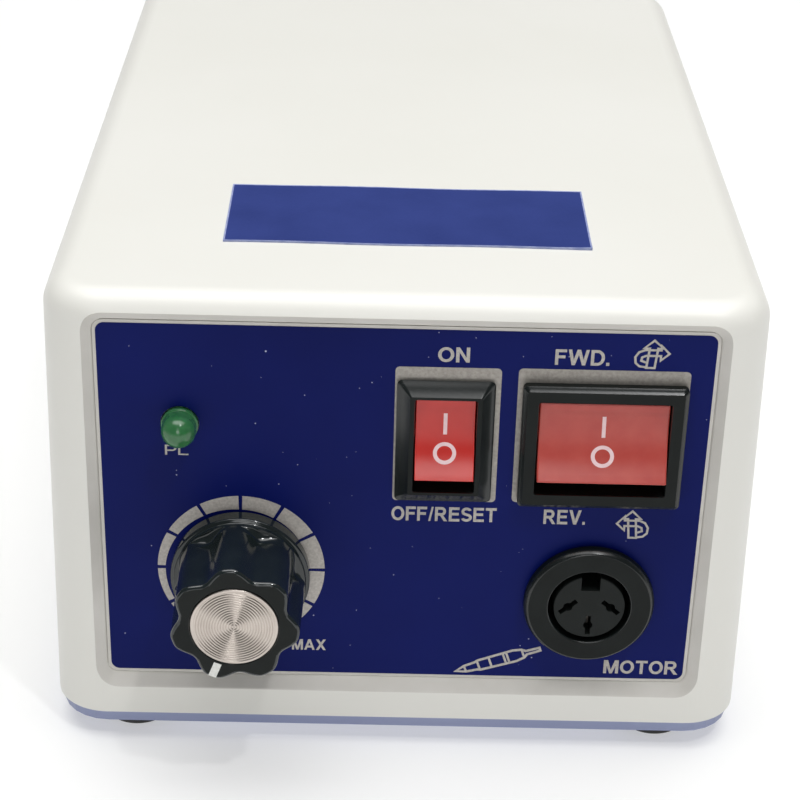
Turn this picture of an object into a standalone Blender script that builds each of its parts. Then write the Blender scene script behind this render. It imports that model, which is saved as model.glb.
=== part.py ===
"""Control box of a dental lab micromotor, free-standing, with its knob, switches, lamp and sockets.

Metres, +Z up, the front face looks along -Y. The origin is the centre of the overall box, on the table.
"""
import math

import bmesh
import bpy
from mathutils import Matrix, Vector

# Units and clearances
MM = 0.001
CLEARANCE = 0.3 * MM          # gap that touching pieces keep
OVERRUN = 1.0 * MM            # how far a cut runs past a face
BEVEL_STEPS = 2

# Case
COVER_FOOT_WIDTH = 113.0 * MM
COVER_DRAFT = 1.2 * MM        # each side leans in over the height
COVER_DEPTH = 165.0 * MM
COVER_HEIGHT = 75.0 * MM
COVER_CORNER_RADIUS = 9.0 * MM
COVER_EDGE_RADIUS = 4.5 * MM
COVER_WALL = 2.5 * MM
CORNER_STEPS = 6
EDGE_STEPS = 4
BASE_INSET = 0.8 * MM
BASE_PLATE = 1.9 * MM
BASE_FLOOR = 2.5 * MM
BASE_LIP_WALL = 1.2 * MM
BASE_LIP_HEIGHT = 4.0 * MM
FOOT_RADIUS = 5.5 * MM
FOOT_HEIGHT = 3.0 * MM
FOOT_EDGE = 0.6 * MM
FOOT_SETBACK = 9.6 * MM       # foot centre behind the front face
FOOT_INSET = 13.0 * MM        # foot centre inside the side face at the cover's lower edge
FOOT_RECESS_RADIUS = 3.3 * MM
FOOT_RECESS_DEPTH = 2.0 * MM
SCREW_RADIUS = 1.5 * MM
SCREW_LENGTH = 10.0 * MM
SCREW_TIP = 0.8 * MM
SCREW_HEAD_RADIUS = 2.7 * MM
SCREW_HEAD_HEIGHT = 1.3 * MM
SCREW_SLOT_WIDTH = 0.8 * MM
SCREW_SLOT_DEPTH = 0.6 * MM
BOSS_RADIUS = 3.4 * MM
BOSS_HEIGHT = 8.5 * MM
BOSS_RIB = 2.0 * MM
VENT_LENGTH = 26.0 * MM
VENT_WIDTH = 2.6 * MM
VENT_EDGE = 0.1 * MM
VENT_PITCH = 6.5 * MM
VENT_COUNT = 6
ROUND_STEPS = 24

# Front panel, from the lower middle of the printed field
PRINT_WIDTH = 93.4 * MM
PRINT_HEIGHT = 62.4 * MM
PRINT_RISE = 7.7 * MM         # printed field's lower edge above the cover's lower edge
LABEL_BORDER = 0.5 * MM
LABEL_THICKNESS = 0.5 * MM
LABEL_CORNER = 1.6 * MM
LABEL_SINK = 1.5 * MM         # label face behind the front face
RECESS_SLOPE = 0.7 * MM
PANEL_WALL = 2.0 * MM         # cover wall left behind the recess

# Rocker switches: cut-out, flange and rocker
SWITCH_HEIGHT_ABOVE = 43.6 * MM
SWITCH_BEZEL_HEIGHT = 21.0 * MM
SWITCH_BODY_HEIGHT = 18.6 * MM
SWITCH_BEZEL_THICKNESS = 2.0 * MM
SWITCH_BEZEL_CORNER = 0.8 * MM
SWITCH_DEPTH = 13.0 * MM
SWITCH_BACK_WALL = 2.0 * MM
ROCKER_OPENING_HEIGHT = 15.9 * MM
ROCKER_SIDE_PLAY = 0.3 * MM
ROCKER_TURN = math.radians(25.0)
ROCKER_FACE_REACH = 4.5 * MM  # pivot to the pressed face
ROCKER_FACE_SINK = 1.1 * MM   # pressed face behind the flange face
ROCKER_SKIRT = 3.6 * MM       # depth of the rocker's end faces
ROCKER_SKIRT_TAPER = 1.2 * MM
ROCKER_KEEL = 1.6 * MM        # pivot to the rocker's back
ROCKER_EDGE_ANGLE = 50.0      # degrees; sharper edges are softened
TRUNNION_RADIUS = 1.0 * MM
TRUNNION_LENGTH = 0.7 * MM
POWER_X = 6.2 * MM
POWER_BEZEL_WIDTH = 15.0 * MM
POWER_BODY_WIDTH = 12.8 * MM
POWER_ROCKER_WIDTH = 9.1 * MM
POWER_SLOPE_WIDTH = 2.0 * MM  # the flange's sloped rim
POWER_SLOPE_HEIGHT = 1.1 * MM
DIRECTION_X = 30.4 * MM
DIRECTION_BEZEL_WIDTH = 25.2 * MM
DIRECTION_BODY_WIDTH = 22.4 * MM
DIRECTION_ROCKER_WIDTH = 19.9 * MM
DIRECTION_SLOPE_WIDTH = 0.7 * MM
DIRECTION_SLOPE_HEIGHT = 0.5 * MM
TERMINAL_WIDTH = 4.8 * MM
TERMINAL_THICKNESS = 0.8 * MM
TERMINAL_LENGTH = 7.6 * MM
TERMINAL_SEAT = 1.2 * MM
TERMINAL_PITCH = 5.6 * MM
TERMINAL_COLUMN = 10.0 * MM
TERMINAL_HOLE_RADIUS = 0.8 * MM

# Speed knob and potentiometer
KNOB_X = -25.3 * MM
KNOB_Z = 19.7 * MM
KNOB_REACH = 17.0 * MM        # panel face to the knob's front face
KNOB_LIFT = 0.9 * MM          # panel face to the knob's back
KNOB_SKIRT_RADIUS = 11.0 * MM
KNOB_SKIRT_HEIGHT = 2.6 * MM
KNOB_FACE_RADIUS = 10.05 * MM
KNOB_GRIP_RADIUS = 10.35 * MM
KNOB_VALLEY_RADIUS = 8.5 * MM
KNOB_LOBES = 7
KNOB_LOBE_STEPS = 8
KNOB_FACE_EDGE = 0.5 * MM
KNOB_MARK_ANGLE = math.radians(-111.0)
KNOB_BACK_POCKET_RADIUS = 8.0 * MM
KNOB_BACK_POCKET_DEPTH = 4.0 * MM
KNOB_BORE_DEPTH = 12.5 * MM
CAP_RADIUS = 6.72 * MM
CAP_THICKNESS = 0.8 * MM
CAP_PROUD = 0.1 * MM
SHAFT_RADIUS = 3.0 * MM
SHAFT_FLAT = 1.4 * MM         # flat's distance from the shaft's axis
SHAFT_CLEARANCE = 0.1 * MM
BUSHING_RADIUS = 3.5 * MM
BUSHING_LENGTH = 6.5 * MM
POT_RADIUS = 11.5 * MM
POT_DEPTH = 9.5 * MM
POT_LUG_WIDTH = 15.0 * MM
POT_LUG_REACH = 7.0 * MM
POT_LUG_THICKNESS = 1.6 * MM
NUT_RADIUS = 5.8 * MM
NUT_THICKNESS = 2.0 * MM

# Lamp
LAMP_X = -34.4 * MM
LAMP_Z = 45.6 * MM
LAMP_RADIUS = 2.65 * MM
LAMP_FLANGE_RADIUS = 3.1 * MM
LAMP_FLANGE_THICKNESS = 0.9 * MM
LAMP_REACH = 4.6 * MM
LAMP_TAIL = 4.0 * MM

# Motor socket
SOCKET_X = 30.3 * MM
SOCKET_Z = 15.0 * MM
SOCKET_FLANGE_RADIUS = 10.45 * MM
SOCKET_FLANGE_THICKNESS = 2.0 * MM
SOCKET_BARREL_RADIUS = 8.6 * MM
SOCKET_BARREL_LENGTH = 12.0 * MM
SOCKET_BORE_RADIUS = 6.95 * MM
SOCKET_INSERT_RADIUS = 5.7 * MM
SOCKET_INSERT_SINK = 0.2 * MM
SOCKET_FLOOR = 3.0 * MM
SOCKET_KEY_WIDTH = 3.0 * MM
SOCKET_KEY_DEPTH = 2.6 * MM
SOCKET_NUT_RADIUS = 10.4 * MM
SOCKET_NUT_THICKNESS = 2.5 * MM
CONTACT_SLOT_LENGTH = 3.0 * MM
CONTACT_SLOT_WIDTH = 1.1 * MM
CONTACT_RADIUS_OUT = 3.4 * MM
CONTACT_LENGTH = 12.0 * MM
CONTACT_SINK = 2.5 * MM
CONTACT_SIDE_ANGLE = math.radians(40.0)

# Rear wall fittings
REAR_ROW_Z = 24.0 * MM
GLAND_SHARE = -0.33           # place across the back, as a share of the cover's width
GLAND_BORE_RADIUS = 3.7 * MM
GLAND_THREAD_RADIUS = 6.2 * MM
GLAND_FLANGE_RADIUS = 8.0 * MM
GLAND_FLANGE_THICKNESS = 2.5 * MM
GLAND_NOSE_RADIUS = 5.6 * MM
GLAND_REACH = 14.0 * MM
GLAND_INNER = 9.0 * MM
GLAND_NUT_RADIUS = 8.6 * MM
GLAND_NUT_THICKNESS = 3.0 * MM
FUSE_SHARE = -0.12
FUSE_RADIUS = 2.6 * MM
FUSE_LENGTH = 20.0 * MM
FUSE_BODY_RADIUS = 6.0 * MM
FUSE_BODY_LENGTH = 34.0 * MM
FUSE_FLANGE_RADIUS = 7.6 * MM
FUSE_FLANGE_THICKNESS = 2.2 * MM
FUSE_BORE_RADIUS = 4.6 * MM
FUSE_BACK_WALL = 3.0 * MM
FUSE_CAP_RADIUS = 5.8 * MM
FUSE_CAP_THICKNESS = 3.4 * MM
FUSE_PLUG_LENGTH = 9.0 * MM
FUSE_PLUG_RADIUS = 4.2 * MM
FUSE_SEAT_DEPTH = 5.0 * MM
FUSE_SLOT_WIDTH = 1.4 * MM
FUSE_SLOT_DEPTH = 1.2 * MM
FUSE_NUT_RADIUS = 8.4 * MM
FUSE_NUT_THICKNESS = 2.5 * MM
MODE_SHARE = 0.12
MODE_BODY_WIDTH = 13.0 * MM
MODE_BODY_HEIGHT = 8.0 * MM
MODE_BODY_DEPTH = 10.0 * MM
MODE_BUSHING_RADIUS = 3.0 * MM
MODE_BUSHING_REACH = 6.5 * MM
MODE_BORE_RADIUS = 2.2 * MM
MODE_NUT_RADIUS = 4.6 * MM
MODE_NUT_THICKNESS = 1.6 * MM
LEVER_RADIUS = 1.1 * MM
LEVER_TIP_RADIUS = 1.6 * MM
LEVER_REACH = 8.5 * MM       # pivot to the tip
LEVER_PIVOT_DEPTH = 1.5 * MM  # pivot inside the bushing's mouth
LEVER_BALL_RADIUS = 1.7 * MM
LEVER_TURN = math.radians(24.0)
JACK_SHARE = 0.32
JACK_BORE_RADIUS = 3.25 * MM
JACK_BARREL_RADIUS = 4.7 * MM
JACK_BARREL_REACH = 4.5 * MM
JACK_BODY_WIDTH = 16.0 * MM
JACK_BODY_HEIGHT = 15.0 * MM
JACK_BODY_DEPTH = 24.0 * MM
JACK_BORE_DEPTH = 22.0 * MM
JACK_NUT_RADIUS = 6.6 * MM
JACK_NUT_THICKNESS = 2.4 * MM
HEX_SIDES = 6

# Top label
TOP_LABEL_WIDTH = 57.8 * MM
TOP_LABEL_DEPTH = 23.7 * MM
TOP_LABEL_THICKNESS = 0.4 * MM
TOP_LABEL_CORNER = 0.8 * MM
TOP_LABEL_GAP = 0.1 * MM
TOP_LABEL_SETBACK = 21.3 * MM # front edge behind the front face

# Transformer, on the base
CORE_WIDTH = 66.0 * MM
CORE_HEIGHT = 55.0 * MM
CORE_STACK = 30.0 * MM
CORE_LEG = 22.0 * MM
CORE_YOKE = 11.0 * MM
WINDING_REACH = 10.0 * MM
WINDING_EDGE = 4.0 * MM
CORE_SETBACK = 100.0 * MM     # core centre behind the front face
CORE_BEARER = 2.0 * MM
STRAP_THICKNESS = 1.2 * MM
STRAP_WIDTH = 16.0 * MM
STRAP_FOOT = 9.0 * MM
STRAP_SCREW_RADIUS = 1.5 * MM
STRAP_SCREW_LENGTH = 6.0 * MM
STRAP_POST_RADIUS = 3.6 * MM

# Control board, on the base
BOARD_WIDTH = 78.0 * MM
BOARD_DEPTH = 40.0 * MM
BOARD_THICKNESS = 1.6 * MM
BOARD_SETBACK = 52.0 * MM     # board centre behind the front face
BOARD_LIFT = 6.0 * MM
BOARD_CORNER = 1.5 * MM
BOARD_POST_RADIUS = 2.8 * MM
BOARD_POST_INSET = 4.5 * MM
BOARD_PEG_RADIUS = 1.2 * MM
BOARD_PEG_LENGTH = 1.4 * MM
CAPACITOR_RADIUS = 9.0 * MM
CAPACITOR_HEIGHT = 31.0 * MM
CAPACITOR_X = -24.0 * MM
CAPACITOR_GROOVE = 0.8 * MM
RECTIFIER_X = -4.0 * MM
RECTIFIER_WIDTH = 15.0 * MM
RECTIFIER_HEIGHT = 11.0 * MM
RECTIFIER_THICKNESS = 4.0 * MM
RECTIFIER_CHAMFER = 2.0 * MM
SINK_X = 22.0 * MM
SINK_WIDTH = 30.0 * MM
SINK_HEIGHT = 28.0 * MM
SINK_DEPTH = 16.0 * MM
SINK_WEB = 3.0 * MM
SINK_FIN = 1.4 * MM
SINK_FINS = 6
TRANSISTOR_WIDTH = 10.0 * MM
TRANSISTOR_HEIGHT = 15.0 * MM
TRANSISTOR_THICKNESS = 4.4 * MM
TRANSISTOR_TAB = 1.3 * MM
TRANSISTOR_LIFT = 6.0 * MM

# Inner leads
LEAD_RADIUS = 1.1 * MM
LEAD_RISE = 10.0 * MM

# Heights and depths that follow
BASE_Z = FOOT_HEIGHT + CLEARANCE
COVER_Z = BASE_Z + BASE_PLATE + CLEARANCE
COVER_TOP_Z = COVER_Z + COVER_HEIGHT
FLOOR_Z = BASE_Z + BASE_FLOOR
REAR_REACH = GLAND_REACH
FRONT_REACH = KNOB_REACH - LABEL_SINK
FRONT_Y = (FRONT_REACH - REAR_REACH - COVER_DEPTH) / 2
REAR_Y = FRONT_Y + COVER_DEPTH
MIDDLE_Y = (FRONT_Y + REAR_Y) / 2
PANEL_Y = FRONT_Y + LABEL_SINK
PANEL_Z = COVER_Z + PRINT_RISE
LABEL_WIDTH = PRINT_WIDTH + 2 * LABEL_BORDER
LABEL_HEIGHT = PRINT_HEIGHT + 2 * LABEL_BORDER
RECESS_DEPTH = LABEL_SINK + LABEL_THICKNESS + CLEARANCE
FRONT_WALL = RECESS_DEPTH + PANEL_WALL
PANEL_INNER = FRONT_WALL - LABEL_SINK          # panel face to the wall's inner side
FOOT_X = COVER_FOOT_WIDTH / 2 - FOOT_INSET
GLAND_X = GLAND_SHARE * COVER_FOOT_WIDTH
FUSE_X = FUSE_SHARE * COVER_FOOT_WIDTH
MODE_X = MODE_SHARE * COVER_FOOT_WIDTH
JACK_X = JACK_SHARE * COVER_FOOT_WIDTH
FOOT_Y = COVER_DEPTH / 2 - FOOT_SETBACK


def clear_scene():
    for item in list(bpy.data.objects):
        bpy.data.objects.remove(item, do_unlink=True)


def material(name, colour, roughness, metallic=0.0, alpha=1.0):
    made = bpy.data.materials.new(name)
    made.use_nodes = True
    shader = made.node_tree.nodes["Principled BSDF"]
    shader.inputs["Base Color"].default_value = (*colour, 1.0)
    shader.inputs["Roughness"].default_value = roughness
    shader.inputs["Metallic"].default_value = metallic
    shader.inputs["Alpha"].default_value = alpha
    return made


def frame_at(name, place, parent=None):
    """An empty that carries the pieces placed from it."""
    empty = bpy.data.objects.new(name, None)
    bpy.context.scene.collection.objects.link(empty)
    empty.location = place
    empty.parent = parent
    return empty


def add_object(name, shape, finish, parent=None, place=(0, 0, 0), smooth=True):
    bmesh.ops.recalc_face_normals(shape, faces=shape.faces)
    mesh = bpy.data.meshes.new(name)
    shape.to_mesh(mesh)
    shape.free()
    if smooth:
        mesh.shade_smooth()
        mesh.set_sharp_from_angle(angle=math.radians(35))
    item = bpy.data.objects.new(name, mesh)
    bpy.context.scene.collection.objects.link(item)
    if finish:
        mesh.materials.append(finish)
    item.parent = parent
    item.location = place
    return item


def combine(item, other, operation):
    """Boolean of item with other, which becomes a hidden guide."""
    other.hide_render = True
    other.display_type = "WIRE"
    change = item.modifiers.new(operation.lower(), "BOOLEAN")
    change.operation = operation
    change.solver = "EXACT"
    change.object = other


def cut(item, *others):
    for other in others:
        combine(item, other, "DIFFERENCE")


def fuse_on(item, *others):
    for other in others:
        combine(item, other, "UNION")


def rounded_rectangle(width, height, radius, steps=CORNER_STEPS):
    """Points of a rectangle with round corners, counter-clockwise, about its centre."""
    points = []
    for turn, (sign_u, sign_v) in enumerate(((1, 1), (-1, 1), (-1, -1), (1, -1))):
        centre_u = sign_u * (width / 2 - radius)
        centre_v = sign_v * (height / 2 - radius)
        for step in range(steps + 1):
            angle = math.pi / 2 * (turn + step / steps)
            points.append((centre_u + radius * math.cos(angle), centre_v + radius * math.sin(angle)))
    return points


def circle(radius, steps=ROUND_STEPS, turn=0.0):
    angles = [turn + 2 * math.pi * step / steps for step in range(steps)]
    return [(radius * math.cos(angle), radius * math.sin(angle)) for angle in angles]


def stack(rings, lower=True, upper=True):
    """A closed shape through rings of (points, height) along local Z."""
    shape = bmesh.new()
    loops = []
    for points, height in rings:
        loops.append([shape.verts.new((u, v, height)) for u, v in points])
    for below, above in zip(loops, loops[1:]):
        count = len(below)
        for index in range(count):
            after = (index + 1) % count
            shape.faces.new((below[index], below[after], above[after], above[index]))
    if lower:
        shape.faces.new(list(reversed(loops[0])))
    if upper:
        shape.faces.new(loops[-1])
    return shape


def face_front(shape):
    """Turn a shape drawn along local Z so that its height runs towards -Y and its outline stands upright."""
    bmesh.ops.rotate(shape, verts=shape.verts, matrix=Matrix.Rotation(math.radians(90), 3, "X"))
    return shape


def face_rear(shape):
    """As face_front, with the height towards +Y."""
    face_front(shape)
    bmesh.ops.rotate(shape, verts=shape.verts, matrix=Matrix.Rotation(math.radians(180), 3, "Z"))
    return shape


def turned(profile, steps=ROUND_STEPS):
    """A closed turned shape about local Z from (radius, height) points, ends on the axis or a bore."""
    shape = bmesh.new()
    closed = profile[0][0] > 0 or profile[-1][0] > 0
    loops = []
    for radius, height in profile:
        if radius == 0:
            loops.append([shape.verts.new((0, 0, height))])
        else:
            loops.append([shape.verts.new((u, v, height)) for u, v in circle(radius, steps)])
    pairs = list(zip(loops, loops[1:]))
    if closed:
        pairs.append((loops[-1], loops[0]))
    for below, above in pairs:
        for index in range(steps):
            after = (index + 1) % steps
            if len(below) == 1:
                shape.faces.new((below[0], above[after], above[index]))
            elif len(above) == 1:
                shape.faces.new((below[index], below[after], above[0]))
            else:
                shape.faces.new((below[index], below[after], above[after], above[index]))
    return shape


def block(width, depth, height, low=0.0):
    """A box centred in X and Y whose lower face is at low."""
    half_x = width / 2
    half_y = depth / 2
    outline = [(-half_x, -half_y), (half_x, -half_y), (half_x, half_y), (-half_x, half_y)]
    return stack([(outline, low), (outline, low + height)])


def prism(points, width):
    """A profile of (y, z) points drawn out along X, centred."""
    shape = bmesh.new()
    sides = [[shape.verts.new((side * width / 2, y, z)) for y, z in points] for side in (-1, 1)]
    shape.faces.new(sides[0])
    shape.faces.new(list(reversed(sides[1])))
    count = len(points)
    for index in range(count):
        after = (index + 1) % count
        shape.faces.new((sides[0][index], sides[1][index], sides[1][after], sides[0][after]))
    return shape


def moved(shape, offset):
    bmesh.ops.translate(shape, verts=shape.verts, vec=Vector(offset))
    return shape


def guide(name, shape, parent=None, place=(0, 0, 0)):
    """A cutter or an addition that shows only through the piece it changes."""
    item = add_object(name, shape, None, parent, place, smooth=False)
    item.hide_render = True
    item.display_type = "WIRE"
    return item


def cover_width(height):
    """Outer width of the drafted side walls at a height above the cover's lower edge."""
    share = height / (COVER_HEIGHT - COVER_EDGE_RADIUS)
    return COVER_FOOT_WIDTH - 2 * COVER_DRAFT * share


def cover_outline(height, inset):
    radius = COVER_CORNER_RADIUS - inset
    return rounded_rectangle(cover_width(height) - 2 * inset, COVER_DEPTH - 2 * inset, radius)


def cavity_outline(height, inset=0.0):
    """Inner outline of the cover, whose front wall is thicker than its sides."""
    width = cover_width(height) - 2 * (COVER_WALL + inset)
    depth = COVER_DEPTH - FRONT_WALL - COVER_WALL - 2 * inset
    shift = (FRONT_WALL - COVER_WALL) / 2
    radius = max(COVER_CORNER_RADIUS - COVER_WALL - inset, CLEARANCE)
    return [(x, y + shift) for x, y in rounded_rectangle(width, depth, radius)]


def rounded_rise(outline, flat_height, top_height, radius):
    """Rings of an upright wall that turns in to a flat top on a quarter circle."""
    rings = [(outline(0.0, 0.0), 0.0), (outline(flat_height, 0.0), flat_height)]
    for step in range(1, EDGE_STEPS + 1):
        angle = math.pi / 2 * step / EDGE_STEPS
        inset = radius * (1 - math.cos(angle))
        rings.append((outline(flat_height, inset), top_height - radius + radius * math.sin(angle)))
    return rings


def make_cover(finish, case, panel, rear):
    outer = rounded_rise(cover_outline, COVER_HEIGHT - COVER_EDGE_RADIUS, COVER_HEIGHT, COVER_EDGE_RADIUS)
    inner_edge = COVER_EDGE_RADIUS - COVER_WALL
    inner_top = COVER_HEIGHT - COVER_WALL
    inner = rounded_rise(cavity_outline, inner_top - inner_edge, inner_top, inner_edge)
    shape = bmesh.new()
    outer_loops = [[shape.verts.new((x, y, z)) for x, y in points] for points, z in outer]
    inner_loops = [[shape.verts.new((x, y, z)) for x, y in points] for points, z in inner]
    loops = list(reversed(inner_loops)) + outer_loops
    for below, above in zip(loops, loops[1:]):
        count = len(below)
        for index in range(count):
            after = (index + 1) % count
            shape.faces.new((below[index], below[after], above[after], above[index]))
    shape.faces.new(inner_loops[-1])
    shape.faces.new(outer_loops[-1])
    cover = add_object("top_cover", shape, finish, case, (0, 0, COVER_Z))
    add_cover_bosses(cover, case)
    cut_label_recess(cover, panel)
    cut_panel_holes(cover, panel, LABEL_THICKNESS, PANEL_INNER + OVERRUN, "cover")
    cut_rear_holes(cover, rear)
    return cover


def foot_places():
    return [(side * FOOT_X, end * FOOT_Y) for end in (-1, 1) for side in (-1, 1)]


def add_cover_bosses(cover, case):
    low = FLOOR_Z + CLEARANCE
    for number, (x, y) in enumerate(foot_places(), 1):
        round_boss = stack([(circle(BOSS_RADIUS), low), (circle(BOSS_RADIUS), low + BOSS_HEIGHT)])
        boss = guide(f"boss_{number}", round_boss, case, (x, y, 0))
        side = math.copysign(1, x)
        end = math.copysign(1, y)
        rib_low = COVER_Z + BASE_LIP_HEIGHT + CLEARANCE
        wall_x = cover_width(COVER_HEIGHT) / 2 - COVER_WALL / 2
        rib_height = low + BOSS_HEIGHT - rib_low
        side_wall = block(wall_x - abs(x), BOSS_RIB, rib_height, rib_low)
        side_rib = guide(f"boss_side_rib_{number}", side_wall, case, (side * (wall_x + abs(x)) / 2, y, 0))
        near = FRONT_WALL / 2 if end < 0 else COVER_WALL / 2
        wall_y = COVER_DEPTH / 2 - near
        end_wall = block(BOSS_RIB, wall_y - abs(y), rib_height, rib_low)
        end_rib = guide(f"boss_end_rib_{number}", end_wall, case, (x, end * (wall_y + abs(y)) / 2, 0))
        pilot_outline = circle(SCREW_RADIUS + CLEARANCE)
        pilot_shape = stack([(pilot_outline, low - OVERRUN), (pilot_outline, screw_tip_z() + OVERRUN)])
        pilot = guide(f"boss_pilot_{number}", pilot_shape, case, (x, y, 0))
        fuse_on(cover, boss, side_rib, end_rib)
        cut(cover, pilot)


def cut_label_recess(cover, panel):
    floor = (LABEL_WIDTH + 2 * CLEARANCE, LABEL_HEIGHT + 2 * CLEARANCE, LABEL_CORNER + CLEARANCE)
    mouth = [size + 2 * RECESS_SLOPE for size in floor[:2]] + [LABEL_CORNER + CLEARANCE + RECESS_SLOPE]
    depth = LABEL_THICKNESS + CLEARANCE
    shape = stack([(rounded_rectangle(*floor), -depth), (rounded_rectangle(*mouth), LABEL_SINK),
                   (rounded_rectangle(*mouth), LABEL_SINK + OVERRUN)])
    cut(cover, guide("label_recess", face_front(shape), panel, (0, 0, PRINT_HEIGHT / 2)))


def panel_hole_shapes(spare):
    """Name, outline and place of each opening through the label and the panel."""
    margin = CLEARANCE + spare
    body_height = SWITCH_BODY_HEIGHT + 2 * margin
    power = rounded_rectangle(POWER_BODY_WIDTH + 2 * margin, body_height, margin, BEVEL_STEPS)
    direction = rounded_rectangle(DIRECTION_BODY_WIDTH + 2 * margin, body_height, margin, BEVEL_STEPS)
    return [
        ("power", power, POWER_X, SWITCH_HEIGHT_ABOVE),
        ("direction", direction, DIRECTION_X, SWITCH_HEIGHT_ABOVE),
        ("bushing", circle(BUSHING_RADIUS + margin), KNOB_X, KNOB_Z),
        ("lamp", circle(LAMP_RADIUS + margin), LAMP_X, LAMP_Z),
        ("socket", circle(SOCKET_BARREL_RADIUS + margin), SOCKET_X, SOCKET_Z),
    ]


def cut_panel_holes(item, panel, front, back, owner):
    """Openings from front to back behind the panel face."""
    for name, outline, x, z in panel_hole_shapes(0.0):
        shape = face_front(stack([(outline, -back), (outline, -front + OVERRUN)]))
        cut(item, guide(f"{owner}_{name}_hole", shape, panel, (x, 0, z)))


def cut_rear_holes(cover, rear):
    holes = [("gland", circle(GLAND_THREAD_RADIUS + CLEARANCE), GLAND_X),
             ("fuse", circle(FUSE_BODY_RADIUS + CLEARANCE), FUSE_X),
             ("mode", circle(MODE_BUSHING_RADIUS + CLEARANCE), MODE_X),
             ("jack", circle(JACK_BARREL_RADIUS + CLEARANCE), JACK_X)]
    for name, outline, x in holes:
        shape = face_rear(stack([(outline, -COVER_WALL - OVERRUN), (outline, OVERRUN)]))
        cut(cover, guide(f"rear_{name}_hole", shape, rear, (x, 0, REAR_ROW_Z)))


def make_base(finish, case):
    plate = cover_outline(0.0, BASE_INSET)
    lip = cavity_outline(0.0, CLEARANCE)
    well = cavity_outline(0.0, CLEARANCE + BASE_LIP_WALL)
    lip_z = BASE_PLATE + CLEARANCE + BASE_LIP_HEIGHT
    tray = stack([(plate, 0.0), (plate, BASE_PLATE), (lip, BASE_PLATE), (lip, lip_z), (well, lip_z),
                  (well, BASE_FLOOR)])
    base = add_object("base_tray", tray, finish, case, (0, 0, BASE_Z))
    for number, (x, y) in enumerate(foot_places(), 1):
        outline = circle(SCREW_RADIUS + CLEARANCE)
        hole = stack([(outline, -OVERRUN), (outline, BASE_FLOOR + OVERRUN)])
        cut(base, guide(f"base_screw_hole_{number}", hole, case, (x, y, BASE_Z)))
    for number, (x, y) in enumerate(board_post_places(), 1):
        root = BASE_FLOOR / 2
        shoulder = BASE_FLOOR + BOARD_LIFT
        tip = shoulder + CLEARANCE + BOARD_PEG_LENGTH
        profile = [(0, root), (BOARD_POST_RADIUS, root), (BOARD_POST_RADIUS, shoulder),
                   (BOARD_PEG_RADIUS, shoulder), (BOARD_PEG_RADIUS, tip), (0, tip)]
        post = turned(profile, ROUND_STEPS // 2)
        fuse_on(base, guide(f"board_post_{number}", post, case, (x, y, BASE_Z)))
    add_core_bearers(base, case)
    cut_vents(base, case)
    return base


def add_core_bearers(base, case):
    """Two low walls that the core stands on, and two posts for the strap's screws."""
    y = core_y()
    half = CORE_WIDTH / 2 - CORE_YOKE / 2
    for side in (-1, 1):
        bearer = block(CORE_YOKE, CORE_STACK, BASE_FLOOR / 2 + CORE_BEARER, BASE_FLOOR / 2)
        fuse_on(base, guide(f"core_bearer_{side}", bearer, case, (side * half, y, BASE_Z)))
        top = BASE_FLOOR + CORE_BEARER
        outline = circle(STRAP_POST_RADIUS, ROUND_STEPS // 2)
        post = guide(f"strap_post_{side}", stack([(outline, BASE_FLOOR / 2), (outline, top)]), case,
                     (side * strap_screw_x(), y, BASE_Z))
        fuse_on(base, post)
        hole = circle(STRAP_SCREW_RADIUS + CLEARANCE, ROUND_STEPS // 2)
        low = top + STRAP_THICKNESS + CLEARANCE - STRAP_SCREW_LENGTH - CLEARANCE
        cut(base, guide(f"strap_pilot_{side}", stack([(hole, low), (hole, top + OVERRUN)]), case,
                        (side * strap_screw_x(), y, BASE_Z)))


def cut_vents(base, case):
    """Slots under the board, between its posts and the transformer."""
    middle = (board_y() + core_y()) / 2
    outline = rounded_rectangle(VENT_WIDTH, VENT_LENGTH, VENT_WIDTH / 2 - VENT_EDGE, BEVEL_STEPS)
    for index in range(VENT_COUNT):
        x = (index - (VENT_COUNT - 1) / 2) * VENT_PITCH
        slot = stack([(outline, -OVERRUN), (outline, BASE_FLOOR + OVERRUN)])
        cut(base, guide(f"vent_{index + 1}", slot, case, (x, middle, BASE_Z)))


def screw_head_z():
    """Height of the case screws' heads, inside the feet."""
    return FOOT_RECESS_DEPTH - CLEARANCE - SCREW_HEAD_HEIGHT


def screw_tip_z():
    return screw_head_z() + SCREW_HEAD_HEIGHT + SCREW_LENGTH


def make_feet_and_screws(rubber, steel, case):
    for number, (x, y) in enumerate(foot_places(), 1):
        hole = SCREW_RADIUS + CLEARANCE
        foot = turned([(FOOT_RADIUS - FOOT_EDGE, 0), (FOOT_RADIUS, FOOT_EDGE), (FOOT_RADIUS, FOOT_HEIGHT),
                       (hole, FOOT_HEIGHT), (hole, FOOT_RECESS_DEPTH),
                       (FOOT_RECESS_RADIUS, FOOT_RECESS_DEPTH), (FOOT_RECESS_RADIUS, 0)])
        add_object(f"foot_{number}", foot, rubber, case, (x, y, 0))
        head = screw_head_z()
        neck = head + SCREW_HEAD_HEIGHT
        screw = turned([(0, head), (SCREW_HEAD_RADIUS, head), (SCREW_HEAD_RADIUS, neck), (SCREW_RADIUS, neck),
                        (SCREW_RADIUS, screw_tip_z() - SCREW_TIP), (0, screw_tip_z())], ROUND_STEPS // 2)
        item = add_object(f"case_screw_{number}", screw, steel, case, (x, y, 0))
        for turn in range(2):
            bar = block(3 * SCREW_RADIUS, SCREW_SLOT_WIDTH, SCREW_SLOT_DEPTH + OVERRUN, head - OVERRUN)
            slot = guide(f"case_screw_slot_{number}_{turn}", bar, case, (x, y, 0))
            slot.rotation_euler.z = math.radians(90) * turn
            cut(item, slot)


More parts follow.
